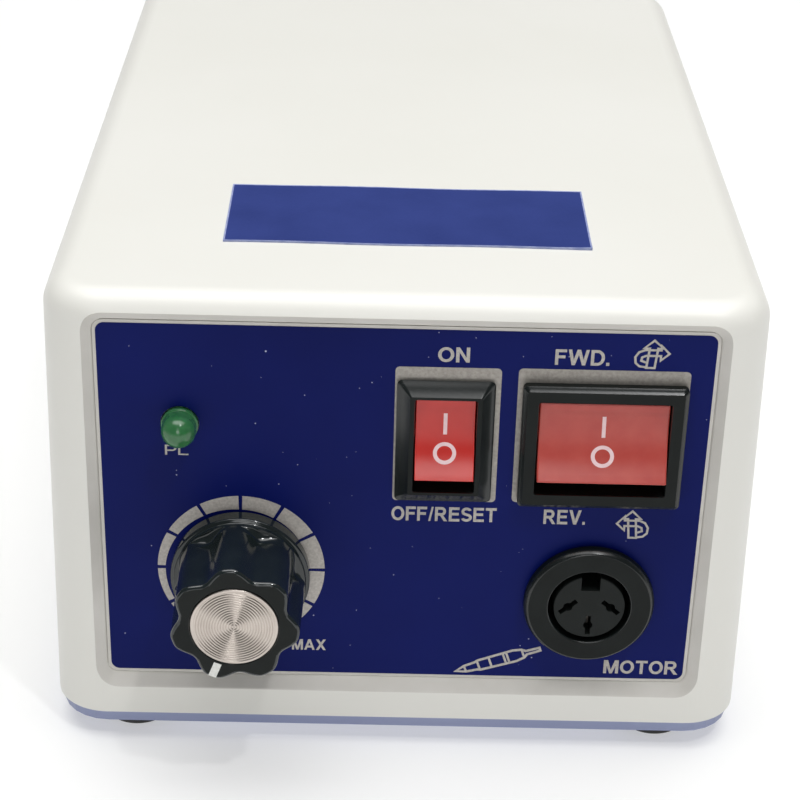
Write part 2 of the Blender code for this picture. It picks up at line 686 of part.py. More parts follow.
def make_labels(blue_face, blue_sticker, case, panel):
    outline = rounded_rectangle(LABEL_WIDTH, LABEL_HEIGHT, LABEL_CORNER, EDGE_STEPS)
    plate = face_front(stack([(outline, -LABEL_THICKNESS), (outline, 0.0)]))
    label = add_object("front_label", plate, blue_face, panel, (0, 0, PRINT_HEIGHT / 2))
    cut_panel_holes(label, panel, 0.0, LABEL_THICKNESS + OVERRUN, "label")
    outline = rounded_rectangle(TOP_LABEL_WIDTH, TOP_LABEL_DEPTH, TOP_LABEL_CORNER, EDGE_STEPS)
    low = COVER_TOP_Z + TOP_LABEL_GAP
    sticker = stack([(outline, low), (outline, low + TOP_LABEL_THICKNESS)])
    y = TOP_LABEL_SETBACK + TOP_LABEL_DEPTH / 2 - COVER_DEPTH / 2
    add_object("top_label", sticker, blue_sticker, case, (0, y, 0))


def rocker_profile():
    """Side outline of a rocker about its pivot, front towards -Y, in its middle position."""
    half_turn = ROCKER_TURN / 2
    tip_z = ROCKER_OPENING_HEIGHT / 2 - CLEARANCE
    tip_angle = math.atan2(tip_z, ROCKER_FACE_REACH) - half_turn
    tip_radius = math.hypot(tip_z, ROCKER_FACE_REACH)
    tip = (-tip_radius * math.cos(tip_angle), tip_radius * math.sin(tip_angle))
    valley = (-ROCKER_FACE_REACH / math.cos(half_turn), 0.0)
    skirt = (valley[0] + ROCKER_SKIRT, tip[1] - ROCKER_SKIRT_TAPER)
    upper = [tip, skirt, (0.0, ROCKER_KEEL), (ROCKER_KEEL, 0.0)]
    lower = [(y, -z) for y, z in reversed(upper[:-1])]
    return [valley] + upper + lower


def make_rocker(name, width, finish, pivot):
    rocker = add_object(name, prism(rocker_profile(), width), finish, pivot)
    edge = rocker.modifiers.new("soft edges", "BEVEL")
    edge.width = CLEARANCE
    edge.segments = 1
    edge.limit_method = "ANGLE"
    edge.angle_limit = math.radians(ROCKER_EDGE_ANGLE)
    pin = circle(TRUNNION_RADIUS, ROUND_STEPS // 2)
    reach = width / 2 + TRUNNION_LENGTH
    shape = stack([(pin, -reach), (pin, reach)])
    bmesh.ops.rotate(shape, verts=shape.verts, matrix=Matrix.Rotation(math.radians(90), 3, "Y"))
    fuse_on(rocker, guide(f"{name}_trunnions", shape, pivot))
    return rocker


def make_switch(name, x, widths, slope, columns, black, red, brass, panel):
    """A snap-in rocker switch: flange and body, rocker on its trunnions, and blade terminals."""
    bezel_width, body_width, rocker_width = widths
    centre = frame_at(f"{name}_centre", (x, 0, SWITCH_HEIGHT_ABOVE), panel)
    front = CLEARANCE + SWITCH_BEZEL_THICKNESS
    flange_corner = SWITCH_BEZEL_CORNER
    wide = rounded_rectangle(bezel_width, SWITCH_BEZEL_HEIGHT, flange_corner, BEVEL_STEPS)
    slope_width, slope_height = slope
    near_width = bezel_width - 2 * slope_width
    near_height = SWITCH_BEZEL_HEIGHT - 2 * slope_width
    near = rounded_rectangle(near_width, near_height, CLEARANCE, BEVEL_STEPS)
    neck = rounded_rectangle(body_width, SWITCH_BODY_HEIGHT, CLEARANCE, BEVEL_STEPS)
    housing = add_object(f"{name}_switch_housing",
                         face_front(stack([(neck, -SWITCH_DEPTH), (neck, CLEARANCE), (wide, CLEARANCE),
                                           (wide, front - slope_height), (near, front)])), black, centre)
    pocket_width = rocker_width + 2 * ROCKER_SIDE_PLAY
    pocket = block(pocket_width, ROCKER_OPENING_HEIGHT, SWITCH_DEPTH - SWITCH_BACK_WALL + front + OVERRUN,
                   SWITCH_BACK_WALL - SWITCH_DEPTH)
    cut(housing, guide(f"{name}_pocket", face_front(pocket), centre))
    pivot_y = -front + ROCKER_FACE_SINK + ROCKER_FACE_REACH
    bearing = circle(TRUNNION_RADIUS + CLEARANCE, ROUND_STEPS // 2)
    reach = rocker_width / 2 + TRUNNION_LENGTH + CLEARANCE
    shape = stack([(bearing, -reach), (bearing, reach)])
    bmesh.ops.rotate(shape, verts=shape.verts, matrix=Matrix.Rotation(math.radians(90), 3, "Y"))
    cut(housing, guide(f"{name}_bearings", shape, centre, (0, pivot_y, 0)))
    pivot = frame_at(f"{name}_pivot", (0, pivot_y, 0), centre)
    pivot.rotation_euler.x = -ROCKER_TURN / 2
    make_rocker(f"{name}_rocker", rocker_width, red, pivot)
    rows = 2 if columns == 1 else 3
    number = 0
    for column in range(columns):
        for row in range(rows):
            number += 1
            place_x = (column - (columns - 1) / 2) * TERMINAL_COLUMN
            place_z = (row - (rows - 1) / 2) * TERMINAL_PITCH
            make_terminal(f"{name}_terminal_{number}", f"{name}_switch_housing", housing, brass, centre,
                          (place_x, SWITCH_DEPTH, place_z))


def make_terminal(name, owner, housing, brass, centre, place):
    """A blade in a slot of the switch's back wall."""
    length = TERMINAL_LENGTH + TERMINAL_SEAT
    blade = block(TERMINAL_WIDTH, length, TERMINAL_THICKNESS, -TERMINAL_THICKNESS / 2)
    middle = (place[0], place[1] + (TERMINAL_LENGTH - TERMINAL_SEAT) / 2, place[2])
    item = add_object(name, blade, brass, centre, middle, smooth=False)
    eye = circle(TERMINAL_HOLE_RADIUS, ROUND_STEPS // 3)
    hole = stack([(eye, -OVERRUN), (eye, OVERRUN)])
    cut(item, guide(f"{name}_eye", hole, centre, (middle[0], middle[1] + length / 4, middle[2])))
    slot = block(TERMINAL_WIDTH + 2 * CLEARANCE, TERMINAL_SEAT + CLEARANCE + OVERRUN,
                 TERMINAL_THICKNESS + 2 * CLEARANCE, -TERMINAL_THICKNESS / 2 - CLEARANCE)
    slot_y = place[1] + (OVERRUN - TERMINAL_SEAT - CLEARANCE) / 2
    cut(housing, guide(f"{name}_slot", slot, centre, (place[0], slot_y, place[2])))


def knob_outline(outer, valley):
    """A rosette of lobes with one lobe under the pointer mark."""
    count = KNOB_LOBES * KNOB_LOBE_STEPS
    points = []
    for step in range(count):
        angle = 2 * math.pi * step / count
        wave = 0.5 + 0.5 * math.cos(KNOB_LOBES * (angle - KNOB_MARK_ANGLE))
        radius = valley + (outer - valley) * math.sqrt(wave)
        points.append((radius * math.cos(angle), radius * math.sin(angle)))
    return points


def make_knob(black, aluminium, steel, panel):
    axis = frame_at("knob_axis", (KNOB_X, 0, KNOB_Z), panel)
    count = KNOB_LOBES * KNOB_LOBE_STEPS
    skirt_top = KNOB_LIFT + KNOB_SKIRT_HEIGHT
    drop = KNOB_GRIP_RADIUS - KNOB_VALLEY_RADIUS
    face_in = KNOB_FACE_RADIUS - KNOB_FACE_EDGE
    rings = [(circle(KNOB_SKIRT_RADIUS, count), KNOB_LIFT),
             (circle(KNOB_SKIRT_RADIUS, count), skirt_top - KNOB_FACE_EDGE),
             (circle(KNOB_SKIRT_RADIUS - KNOB_FACE_EDGE, count), skirt_top),
             (knob_outline(KNOB_GRIP_RADIUS, KNOB_VALLEY_RADIUS), skirt_top + KNOB_FACE_EDGE),
             (knob_outline(KNOB_FACE_RADIUS, KNOB_FACE_RADIUS - drop), KNOB_REACH - KNOB_FACE_EDGE),
             (knob_outline(face_in, face_in - drop), KNOB_REACH)]
    knob = add_object("speed_knob", face_front(stack(rings)), black, axis)
    sides = ROUND_STEPS
    pocket = turned([(0, KNOB_LIFT - OVERRUN), (KNOB_BACK_POCKET_RADIUS, KNOB_LIFT - OVERRUN),
                     (KNOB_BACK_POCKET_RADIUS, KNOB_LIFT + KNOB_BACK_POCKET_DEPTH),
                     (0, KNOB_LIFT + KNOB_BACK_POCKET_DEPTH)], sides)
    bore_end = KNOB_LIFT + KNOB_BORE_DEPTH
    bore_outline = shaft_outline(CLEARANCE)
    bore = stack([(bore_outline, KNOB_LIFT), (bore_outline, bore_end)])
    seat_radius = CAP_RADIUS + CLEARANCE
    seat_depth = CAP_THICKNESS + CLEARANCE - CAP_PROUD
    seat = stack([(circle(seat_radius, 2 * sides), KNOB_REACH - seat_depth),
                  (circle(seat_radius, 2 * sides), KNOB_REACH + OVERRUN)])
    cut(knob, guide("knob_back_pocket", face_front(pocket), axis), guide("knob_bore", face_front(bore), axis),
        guide("knob_cap_seat", face_front(seat), axis))
    cap_back = KNOB_REACH - CAP_THICKNESS + CAP_PROUD
    cap_front = KNOB_REACH + CAP_PROUD
    cap = turned([(0, cap_back), (CAP_RADIUS, cap_back), (CAP_RADIUS, KNOB_REACH),
                  (CAP_RADIUS - CAP_PROUD, cap_front), (0, cap_front)], 2 * sides)
    add_object("knob_cap", face_front(cap), aluminium, axis)
    outline = shaft_outline(0.0)
    root = circle(SHAFT_RADIUS, ROUND_STEPS)
    flat_start = BUSHING_LENGTH - PANEL_INNER + CLEARANCE
    shaft = stack([(root, -PANEL_INNER - POT_DEPTH / 3), (root, flat_start), (outline, flat_start),
                   (outline, bore_end - CLEARANCE)])
    add_object("potentiometer_shaft", face_front(shaft), steel, axis)


def shaft_outline(spare):
    """A round shaft with one flat, seen from the front."""
    radius = SHAFT_RADIUS + spare
    level = SHAFT_FLAT + spare
    return [(u, min(v, level)) for u, v in circle(radius, ROUND_STEPS)]


def make_potentiometer(steel, phenolic, panel):
    axis = frame_at("potentiometer_axis", (KNOB_X, 0, KNOB_Z), panel)
    front = -PANEL_INNER - CLEARANCE
    bore = SHAFT_RADIUS + SHAFT_CLEARANCE
    profile = [(POT_RADIUS, front - POT_DEPTH), (POT_RADIUS, front), (BUSHING_RADIUS, front),
               (BUSHING_RADIUS, front + BUSHING_LENGTH), (bore, front + BUSHING_LENGTH),
               (bore, front - POT_DEPTH / 2), (0, front - POT_DEPTH / 2)]
    body = turned([(0, front - POT_DEPTH)] + profile)
    pot = add_object("potentiometer_body", face_front(body), steel, axis)
    lug = rounded_rectangle(POT_LUG_WIDTH, 2 * POT_LUG_REACH, CLEARANCE, BEVEL_STEPS)
    middle = front - POT_DEPTH / 2
    wafer = face_front(stack([(lug, middle), (lug, middle + POT_LUG_THICKNESS)]))
    fuse_on(pot, guide("potentiometer_lugs", wafer, axis, (0, 0, -POT_RADIUS)))
    hole = stack([(circle(bore), middle), (circle(bore), front + BUSHING_LENGTH + OVERRUN)])
    cut(pot, guide("potentiometer_bore", face_front(hole), axis))
    nut = hexagon_nut(NUT_RADIUS, BUSHING_RADIUS, CLEARANCE, NUT_THICKNESS)
    add_object("potentiometer_nut", face_front(nut), steel, axis, smooth=False)


def hexagon_nut(radius, thread_radius, low, thickness):
    """A hexagon with a round hole, bridged ring by ring."""
    outer = circle(radius, HEX_SIDES)
    outer_ring = []
    per_side = ROUND_STEPS // HEX_SIDES
    for index in range(HEX_SIDES):
        here = Vector(outer[index])
        there = Vector(outer[(index + 1) % HEX_SIDES])
        outer_ring.extend(here.lerp(there, step / per_side) for step in range(per_side))
    inner_ring = circle(thread_radius + CLEARANCE, ROUND_STEPS)
    shape = bmesh.new()
    high = low + thickness
    levels = ((outer_ring, low), (outer_ring, high), (inner_ring, high), (inner_ring, low))
    loops = [[shape.verts.new((point[0], point[1], height)) for point in ring] for ring, height in levels]
    for below, above in zip(loops, loops[1:] + loops[:1]):
        for index in range(ROUND_STEPS):
            after = (index + 1) % ROUND_STEPS
            shape.faces.new((below[index], below[after], above[after], above[index]))
    return shape


def make_lamp(green, panel):
    """A round lamp that shines through the panel, its flange seated behind the label's face."""
    dome_start = LAMP_REACH - LAMP_RADIUS
    tail = -PANEL_INNER - LAMP_TAIL
    profile = [(0, tail), (LAMP_RADIUS, tail), (LAMP_RADIUS, CLEARANCE), (LAMP_FLANGE_RADIUS, CLEARANCE),
               (LAMP_FLANGE_RADIUS, LAMP_FLANGE_THICKNESS), (LAMP_RADIUS, LAMP_FLANGE_THICKNESS),
               (LAMP_RADIUS, dome_start)]
    for step in range(1, EDGE_STEPS):
        angle = math.pi / 2 * step / EDGE_STEPS
        profile.append((LAMP_RADIUS * math.cos(angle), dome_start + LAMP_RADIUS * math.sin(angle)))
    profile.append((0, LAMP_REACH))
    add_object("power_lamp", face_front(turned(profile)), green, panel, (LAMP_X, 0, LAMP_Z))


def contact_places():
    """Place and lean of the three contact slots: two slanted above, one upright below."""
    out = CONTACT_RADIUS_OUT
    return [(-out, 0.0, CONTACT_SIDE_ANGLE), (out, 0.0, -CONTACT_SIDE_ANGLE), (0.0, -out, math.pi / 2)]


def make_socket(black, dark, brass, steel, panel):
    axis = frame_at("socket_axis", (SOCKET_X, 0, SOCKET_Z), panel)
    face = CLEARANCE + SOCKET_FLANGE_THICKNESS
    back = -PANEL_INNER - SOCKET_BARREL_LENGTH
    edge = CLEARANCE
    ledge = SOCKET_INSERT_RADIUS - OVERRUN
    shell = turned([(SOCKET_BARREL_RADIUS, back), (SOCKET_BARREL_RADIUS, CLEARANCE),
                    (SOCKET_FLANGE_RADIUS, CLEARANCE), (SOCKET_FLANGE_RADIUS, face - edge),
                    (SOCKET_FLANGE_RADIUS - edge, face), (SOCKET_BORE_RADIUS, face),
                    (SOCKET_BORE_RADIUS, back + SOCKET_FLOOR), (ledge, back + SOCKET_FLOOR), (ledge, back)],
                   2 * ROUND_STEPS)
    add_object("motor_socket_shell", face_front(shell), black, axis)
    insert_face = face - SOCKET_INSERT_SINK
    insert_back = back + SOCKET_FLOOR + CLEARANCE
    disc = circle(SOCKET_INSERT_RADIUS, 2 * ROUND_STEPS)
    plug = face_front(stack([(disc, insert_back), (disc, insert_face)]))
    insert = add_object("motor_socket_insert", plug, dark, axis)
    key_depth = insert_face - insert_back + OVERRUN
    key = block(SOCKET_KEY_WIDTH, 2 * SOCKET_KEY_DEPTH, key_depth, insert_back + SOCKET_FLOOR)
    cut(insert, guide("socket_key", face_front(key), axis, (0, 0, SOCKET_INSERT_RADIUS)))
    for number, (x, z, lean) in enumerate(contact_places(), 1):
        length = CONTACT_SLOT_LENGTH
        width = CONTACT_SLOT_WIDTH
        slot = block(length, width, insert_face - insert_back + 2 * OVERRUN, insert_back - OVERRUN)
        item = guide(f"contact_slot_{number}", face_front(slot), axis, (x, 0, z))
        item.rotation_euler.y = -lean
        cut(insert, item)
        contact_low = insert_face - CONTACT_SINK - CONTACT_LENGTH
        blade = face_front(block(length - 2 * CLEARANCE, width - 2 * CLEARANCE, CONTACT_LENGTH, contact_low))
        contact = add_object(f"socket_contact_{number}", blade, brass, axis, (x, 0, z), smooth=False)
        contact.rotation_euler.y = -lean
    nut_low = -PANEL_INNER - CLEARANCE - SOCKET_NUT_THICKNESS
    nut = hexagon_nut(SOCKET_NUT_RADIUS, SOCKET_BARREL_RADIUS, nut_low, SOCKET_NUT_THICKNESS)
    add_object("motor_socket_nut", face_front(nut), steel, axis, smooth=False)


def make_gland(black, rear):
    axis = frame_at("gland_axis", (GLAND_X, 0, REAR_ROW_Z), rear)
    low = -COVER_WALL - GLAND_INNER
    collar = CLEARANCE + GLAND_FLANGE_THICKNESS
    body = turned([(GLAND_THREAD_RADIUS, low), (GLAND_THREAD_RADIUS, CLEARANCE),
                   (GLAND_FLANGE_RADIUS, CLEARANCE), (GLAND_FLANGE_RADIUS, collar),
                   (GLAND_NOSE_RADIUS + CLEARANCE, collar + CLEARANCE), (GLAND_NOSE_RADIUS, GLAND_REACH),
                   (GLAND_BORE_RADIUS, GLAND_REACH), (GLAND_BORE_RADIUS, low)])
    add_object("cord_gland", face_rear(body), black, axis)
    nut_low = -COVER_WALL - CLEARANCE - GLAND_NUT_THICKNESS
    nut = hexagon_nut(GLAND_NUT_RADIUS, GLAND_THREAD_RADIUS, nut_low, GLAND_NUT_THICKNESS)
    add_object("gland_nut", face_rear(nut), black, axis, smooth=False)


def make_fuse_holder(black, glass, steel, rear):
    axis = frame_at("fuse_axis", (FUSE_X, 0, REAR_ROW_Z), rear)
    face = CLEARANCE + FUSE_FLANGE_THICKNESS
    low = -FUSE_BODY_LENGTH
    floor = low + FUSE_BACK_WALL
    body = turned([(0, low), (FUSE_BODY_RADIUS, low), (FUSE_BODY_RADIUS, CLEARANCE),
                   (FUSE_FLANGE_RADIUS, CLEARANCE), (FUSE_FLANGE_RADIUS, face), (FUSE_BORE_RADIUS, face),
                   (FUSE_BORE_RADIUS, floor), (0, floor)])
    add_object("fuse_holder", face_rear(body), black, axis)
    nut_low = -COVER_WALL - CLEARANCE - FUSE_NUT_THICKNESS
    nut = hexagon_nut(FUSE_NUT_RADIUS, FUSE_BODY_RADIUS, nut_low, FUSE_NUT_THICKNESS)
    add_object("fuse_holder_nut", face_rear(nut), black, axis, smooth=False)
    cap_low = face + CLEARANCE
    cap_top = cap_low + FUSE_CAP_THICKNESS
    plug_end = cap_low - FUSE_PLUG_LENGTH
    seat_radius = FUSE_RADIUS + CLEARANCE
    seat_end = plug_end + FUSE_SEAT_DEPTH
    cap = turned([(0, cap_top), (FUSE_CAP_RADIUS - CLEARANCE, cap_top),
                  (FUSE_CAP_RADIUS, cap_top - CLEARANCE), (FUSE_CAP_RADIUS, cap_low), (FUSE_PLUG_RADIUS, cap_low),
                  (FUSE_PLUG_RADIUS, plug_end), (seat_radius, plug_end), (seat_radius, seat_end), (0, seat_end)])
    cap_item = add_object("fuse_cap", face_rear(cap), black, axis)
    slot = block(2 * FUSE_CAP_RADIUS - 4 * CLEARANCE, FUSE_SLOT_WIDTH, FUSE_SLOT_DEPTH + OVERRUN,
                 cap_top - FUSE_SLOT_DEPTH)
    cut(cap_item, guide("fuse_cap_slot", face_rear(slot), axis))
    top = seat_end - CLEARANCE
    bottom = top - FUSE_LENGTH
    tube = turned([(0, bottom), (FUSE_RADIUS, bottom), (FUSE_RADIUS, top), (0, top)], ROUND_STEPS // 2)
    add_object("fuse", face_rear(tube), glass, axis)


def make_mode_switch(body_finish, steel, rear):
    axis = frame_at("mode_axis", (MODE_X, 0, REAR_ROW_Z), rear)
    inside = -COVER_WALL - CLEARANCE
    mouth = MODE_BUSHING_REACH
    pivot_at = mouth - LEVER_PIVOT_DEPTH
    can = block(MODE_BODY_WIDTH, MODE_BODY_HEIGHT, MODE_BODY_DEPTH, inside - MODE_BODY_DEPTH)
    body = add_object("mode_switch_body", face_rear(can), body_finish, axis)
    bush = circle(MODE_BUSHING_RADIUS)
    fuse_on(body, guide("mode_bushing", face_rear(stack([(bush, inside - OVERRUN), (bush, mouth)])), axis))
    bore = circle(MODE_BORE_RADIUS)
    flare = circle(MODE_BORE_RADIUS + CLEARANCE)
    bore_low = pivot_at - LEVER_BALL_RADIUS - CLEARANCE
    hollow = stack([(bore, bore_low), (bore, pivot_at), (flare, mouth + OVERRUN)])
    cut(body, guide("mode_bore", face_rear(hollow), axis))
    nut = hexagon_nut(MODE_NUT_RADIUS, MODE_BUSHING_RADIUS, CLEARANCE, MODE_NUT_THICKNESS)
    add_object("mode_switch_nut", face_rear(nut), steel, axis, smooth=False)
    pivot = frame_at("lever_pivot", (0, pivot_at, 0), axis)
    pivot.rotation_euler.x = LEVER_TURN / 2
    ball = LEVER_BALL_RADIUS
    profile = [(0, -ball)]
    for step in range(1, EDGE_STEPS):
        angle = -math.pi / 2 + math.pi * 0.75 * step / EDGE_STEPS
        profile.append((ball * math.cos(angle), ball * math.sin(angle)))
    neck = math.sqrt(ball ** 2 - LEVER_RADIUS ** 2)
    tip_start = LEVER_REACH - LEVER_TIP_RADIUS
    tip_slant = LEVER_TIP_RADIUS * math.sqrt(0.5)
    profile += [(LEVER_RADIUS, neck), (LEVER_TIP_RADIUS, tip_start), (tip_slant, tip_start + tip_slant),
                (0, LEVER_REACH)]
    add_object("mode_lever", face_rear(turned(profile, ROUND_STEPS // 2)), steel, pivot)


def make_jack(black, steel, rear):
    axis = frame_at("jack_axis", (JACK_X, 0, REAR_ROW_Z), rear)
    inside = -COVER_WALL - CLEARANCE
    can = block(JACK_BODY_WIDTH, JACK_BODY_HEIGHT, JACK_BODY_DEPTH, inside - JACK_BODY_DEPTH)
    jack = add_object("foot_pedal_jack", face_rear(can), black, axis)
    barrel = circle(JACK_BARREL_RADIUS)
    tube = stack([(barrel, inside - OVERRUN), (barrel, JACK_BARREL_REACH)])
    fuse_on(jack, guide("jack_barrel", face_rear(tube), axis))
    bore = circle(JACK_BORE_RADIUS)
    hole = stack([(bore, JACK_BARREL_REACH - JACK_BORE_DEPTH), (bore, JACK_BARREL_REACH + OVERRUN)])
    cut(jack, guide("jack_bore", face_rear(hole), axis))
    nut = hexagon_nut(JACK_NUT_RADIUS, JACK_BARREL_RADIUS, CLEARANCE, JACK_NUT_THICKNESS)
    add_object("jack_nut", face_rear(nut), steel, axis, smooth=False)


def core_y():
    return CORE_SETBACK - COVER_DEPTH / 2


def board_y():
    return BOARD_SETBACK - COVER_DEPTH / 2


def strap_screw_x():
    return CORE_WIDTH / 2 + CLEARANCE + STRAP_THICKNESS + STRAP_FOOT / 2


def make_transformer(iron, tape, steel, case):
    low = FLOOR_Z + CORE_BEARER + CLEARANCE
    place = (0, core_y(), low)
    laminations = block(CORE_WIDTH, CORE_STACK, CORE_HEIGHT)
    core = add_object("transformer_core", laminations, iron, case, place, smooth=False)
    window_width = (CORE_WIDTH - 2 * CORE_YOKE - CORE_LEG) / 2
    window_height = CORE_HEIGHT - 2 * CORE_YOKE
    for side in (-1, 1):
        x = side * (CORE_LEG + window_width) / 2
        window = block(window_width, CORE_STACK + 2 * OVERRUN, window_height, CORE_YOKE)
        cut(core, guide(f"core_window_{side}", window, case, (x, core_y(), low)))
    outer_width = CORE_WIDTH - 2 * CORE_YOKE - 2 * CLEARANCE
    outer_depth = CORE_STACK + 2 * WINDING_REACH
    outline = rounded_rectangle(outer_width, outer_depth, WINDING_EDGE, EDGE_STEPS)
    wound_low = CORE_YOKE + CLEARANCE
    wound_high = CORE_HEIGHT - CORE_YOKE - CLEARANCE
    wound = stack([(outline, wound_low), (outline, wound_high)])
    winding = add_object("transformer_winding", wound, tape, case, place)
    leg = block(CORE_LEG + 2 * CLEARANCE, CORE_STACK + 2 * CLEARANCE, CORE_HEIGHT)
    cut(winding, guide("core_leg_space", leg, case, place))
    make_strap(steel, case, low)


def make_strap(steel, case, core_low):
    """A steel strap over the core, with a screwed foot each side."""
    inner = CORE_WIDTH / 2 + CLEARANCE
    outer = inner + STRAP_THICKNESS
    foot_low = core_low
    foot_top = foot_low + STRAP_THICKNESS
    under = core_low + CORE_HEIGHT + CLEARANCE
    over = under + STRAP_THICKNESS
    toe = outer + STRAP_FOOT
    half = [(inner, foot_low), (toe, foot_low), (toe, foot_top), (outer, foot_top), (outer, over)]
    outline = half + [(-x, z) for x, z in reversed(half)] + [(-inner, under), (inner, under)]
    shape = prism(outline, STRAP_WIDTH)
    bmesh.ops.rotate(shape, verts=shape.verts, matrix=Matrix.Rotation(math.radians(-90), 3, "Z"))
    strap = add_object("transformer_strap", shape, steel, case, (0, core_y(), 0), smooth=False)
    for number, side in enumerate((-1, 1), 1):
        x = side * strap_screw_x()
        eye = circle(STRAP_SCREW_RADIUS + CLEARANCE, ROUND_STEPS // 2)
        hole = stack([(eye, foot_low - OVERRUN), (eye, foot_top + OVERRUN)])
        cut(strap, guide(f"strap_eye_{number}", hole, case, (x, core_y(), 0)))
        head = foot_top + CLEARANCE
        radius = STRAP_SCREW_RADIUS
        screw = turned([(0, head - STRAP_SCREW_LENGTH), (radius, head - STRAP_SCREW_LENGTH), (radius, head),
                        (SCREW_HEAD_RADIUS, head), (SCREW_HEAD_RADIUS, head + SCREW_HEAD_HEIGHT),
                        (0, head + SCREW_HEAD_HEIGHT)], ROUND_STEPS // 2)
        add_object(f"strap_screw_{number}", screw, steel, case, (x, core_y(), 0))


def board_post_places():
    half_x = BOARD_WIDTH / 2 - BOARD_POST_INSET
    half_y = BOARD_DEPTH / 2 - BOARD_POST_INSET
    return [(side * half_x, board_y() + end * half_y) for end in (-1, 1) for side in (-1, 1)]


def make_board(green, black, aluminium, sleeve, case):
    low = FLOOR_Z + BOARD_LIFT + CLEARANCE
    outline = rounded_rectangle(BOARD_WIDTH, BOARD_DEPTH, BOARD_CORNER, BEVEL_STEPS)
    high = low + BOARD_THICKNESS
    plate = stack([(outline, low), (outline, high)])
    board = add_object("control_board", plate, green, case, (0, board_y(), 0), smooth=False)
    for number, (x, y) in enumerate(board_post_places(), 1):
        hole = circle(BOARD_PEG_RADIUS + CLEARANCE, ROUND_STEPS // 2)
        peg_hole = stack([(hole, low - OVERRUN), (hole, high + OVERRUN)])
        cut(board, guide(f"board_hole_{number}", peg_hole, case, (x, y, 0)))
    top = high + CLEARANCE
    radius = CAPACITOR_RADIUS
    groove = CAPACITOR_GROOVE
    can = turned([(0, 0), (radius, 0), (radius, groove * 2), (radius - groove / 2, groove * 3),
                  (radius, groove * 4), (radius, CAPACITOR_HEIGHT - groove),
                  (radius - groove, CAPACITOR_HEIGHT), (0, CAPACITOR_HEIGHT)])
    add_object("filter_capacitor", can, sleeve, case, (CAPACITOR_X, board_y(), top))
    half = RECTIFIER_WIDTH / 2
    corner = RECTIFIER_CHAMFER
    face = [(-half, 0), (half, 0), (half, RECTIFIER_HEIGHT), (corner - half, RECTIFIER_HEIGHT),
            (-half, RECTIFIER_HEIGHT - corner)]
    shape = face_front(stack([(face, 0.0), (face, RECTIFIER_THICKNESS)]))
    add_object("bridge_rectifier", shape, black, case, (RECTIFIER_X, board_y(), top), smooth=False)
    make_heat_sink(black, aluminium, case, top)


def make_heat_sink(black, aluminium, case, top):
    half = SINK_WIDTH / 2
    web_front = -SINK_DEPTH / 2
    pitch = (SINK_WIDTH - SINK_FIN) / (SINK_FINS - 1)
    points = [(-half, web_front), (half, web_front)]
    for index in reversed(range(SINK_FINS)):
        x = -half + index * pitch
        points += [(x + SINK_FIN, SINK_DEPTH / 2), (x, SINK_DEPTH / 2)]
        if index:
            points += [(x, web_front + SINK_WEB), (x - pitch + SINK_FIN, web_front + SINK_WEB)]
    sink = stack([(points, 0.0), (points, SINK_HEIGHT)])
    add_object("heat_sink", sink, aluminium, case, (SINK_X, board_y(), top), smooth=False)
    tab_half = TRANSISTOR_WIDTH / 2
    tab = TRANSISTOR_TAB
    thick = TRANSISTOR_THICKNESS
    shoulder = TRANSISTOR_HEIGHT - TRANSISTOR_LIFT
    profile = [(0, 0), (0, TRANSISTOR_HEIGHT), (-tab, TRANSISTOR_HEIGHT), (-tab, shoulder),
               (-thick, shoulder), (-thick, 0)]
    y = board_y() + web_front - CLEARANCE
    place = (SINK_X, y, top + TRANSISTOR_LIFT)
    add_object("power_transistor", prism(profile, 2 * tab_half), black, case, place, smooth=False)


def make_lead(name, points, finish):
    """An insulated lead along a smooth line through the given points."""
    line = bpy.data.curves.new(name, "CURVE")
    line.dimensions = "3D"
    line.bevel_depth = LEAD_RADIUS
    line.bevel_resolution = 2
    line.use_fill_caps = True
    path = smooth_path([Vector(point) for point in points])
    spline = line.splines.new("POLY")
    spline.points.add(len(path) - 1)
    for target, point in zip(spline.points, path):
        target.co = (*point, 1.0)
    line.materials.append(finish)
    item = bpy.data.objects.new(name, line)
    bpy.context.scene.collection.objects.link(item)
    return item


def smooth_path(points, steps=4):
    """The route with each corner eased by a short curve."""
    path = [points[0]]
    for before, corner, after in zip(points, points[1:], points[2:]):
        shorter = min((corner - before).length, (after - corner).length)
        reach = min(LEAD_RISE, shorter / 2 - CLEARANCE)
        start = corner + (before - corner).normalized() * reach
        end = corner + (after - corner).normalized() * reach
        for step in range(steps + 1):
            share = step / steps
            path.append(start.lerp(corner, share).lerp(corner.lerp(end, share), share))
    return path + [points[-1]]


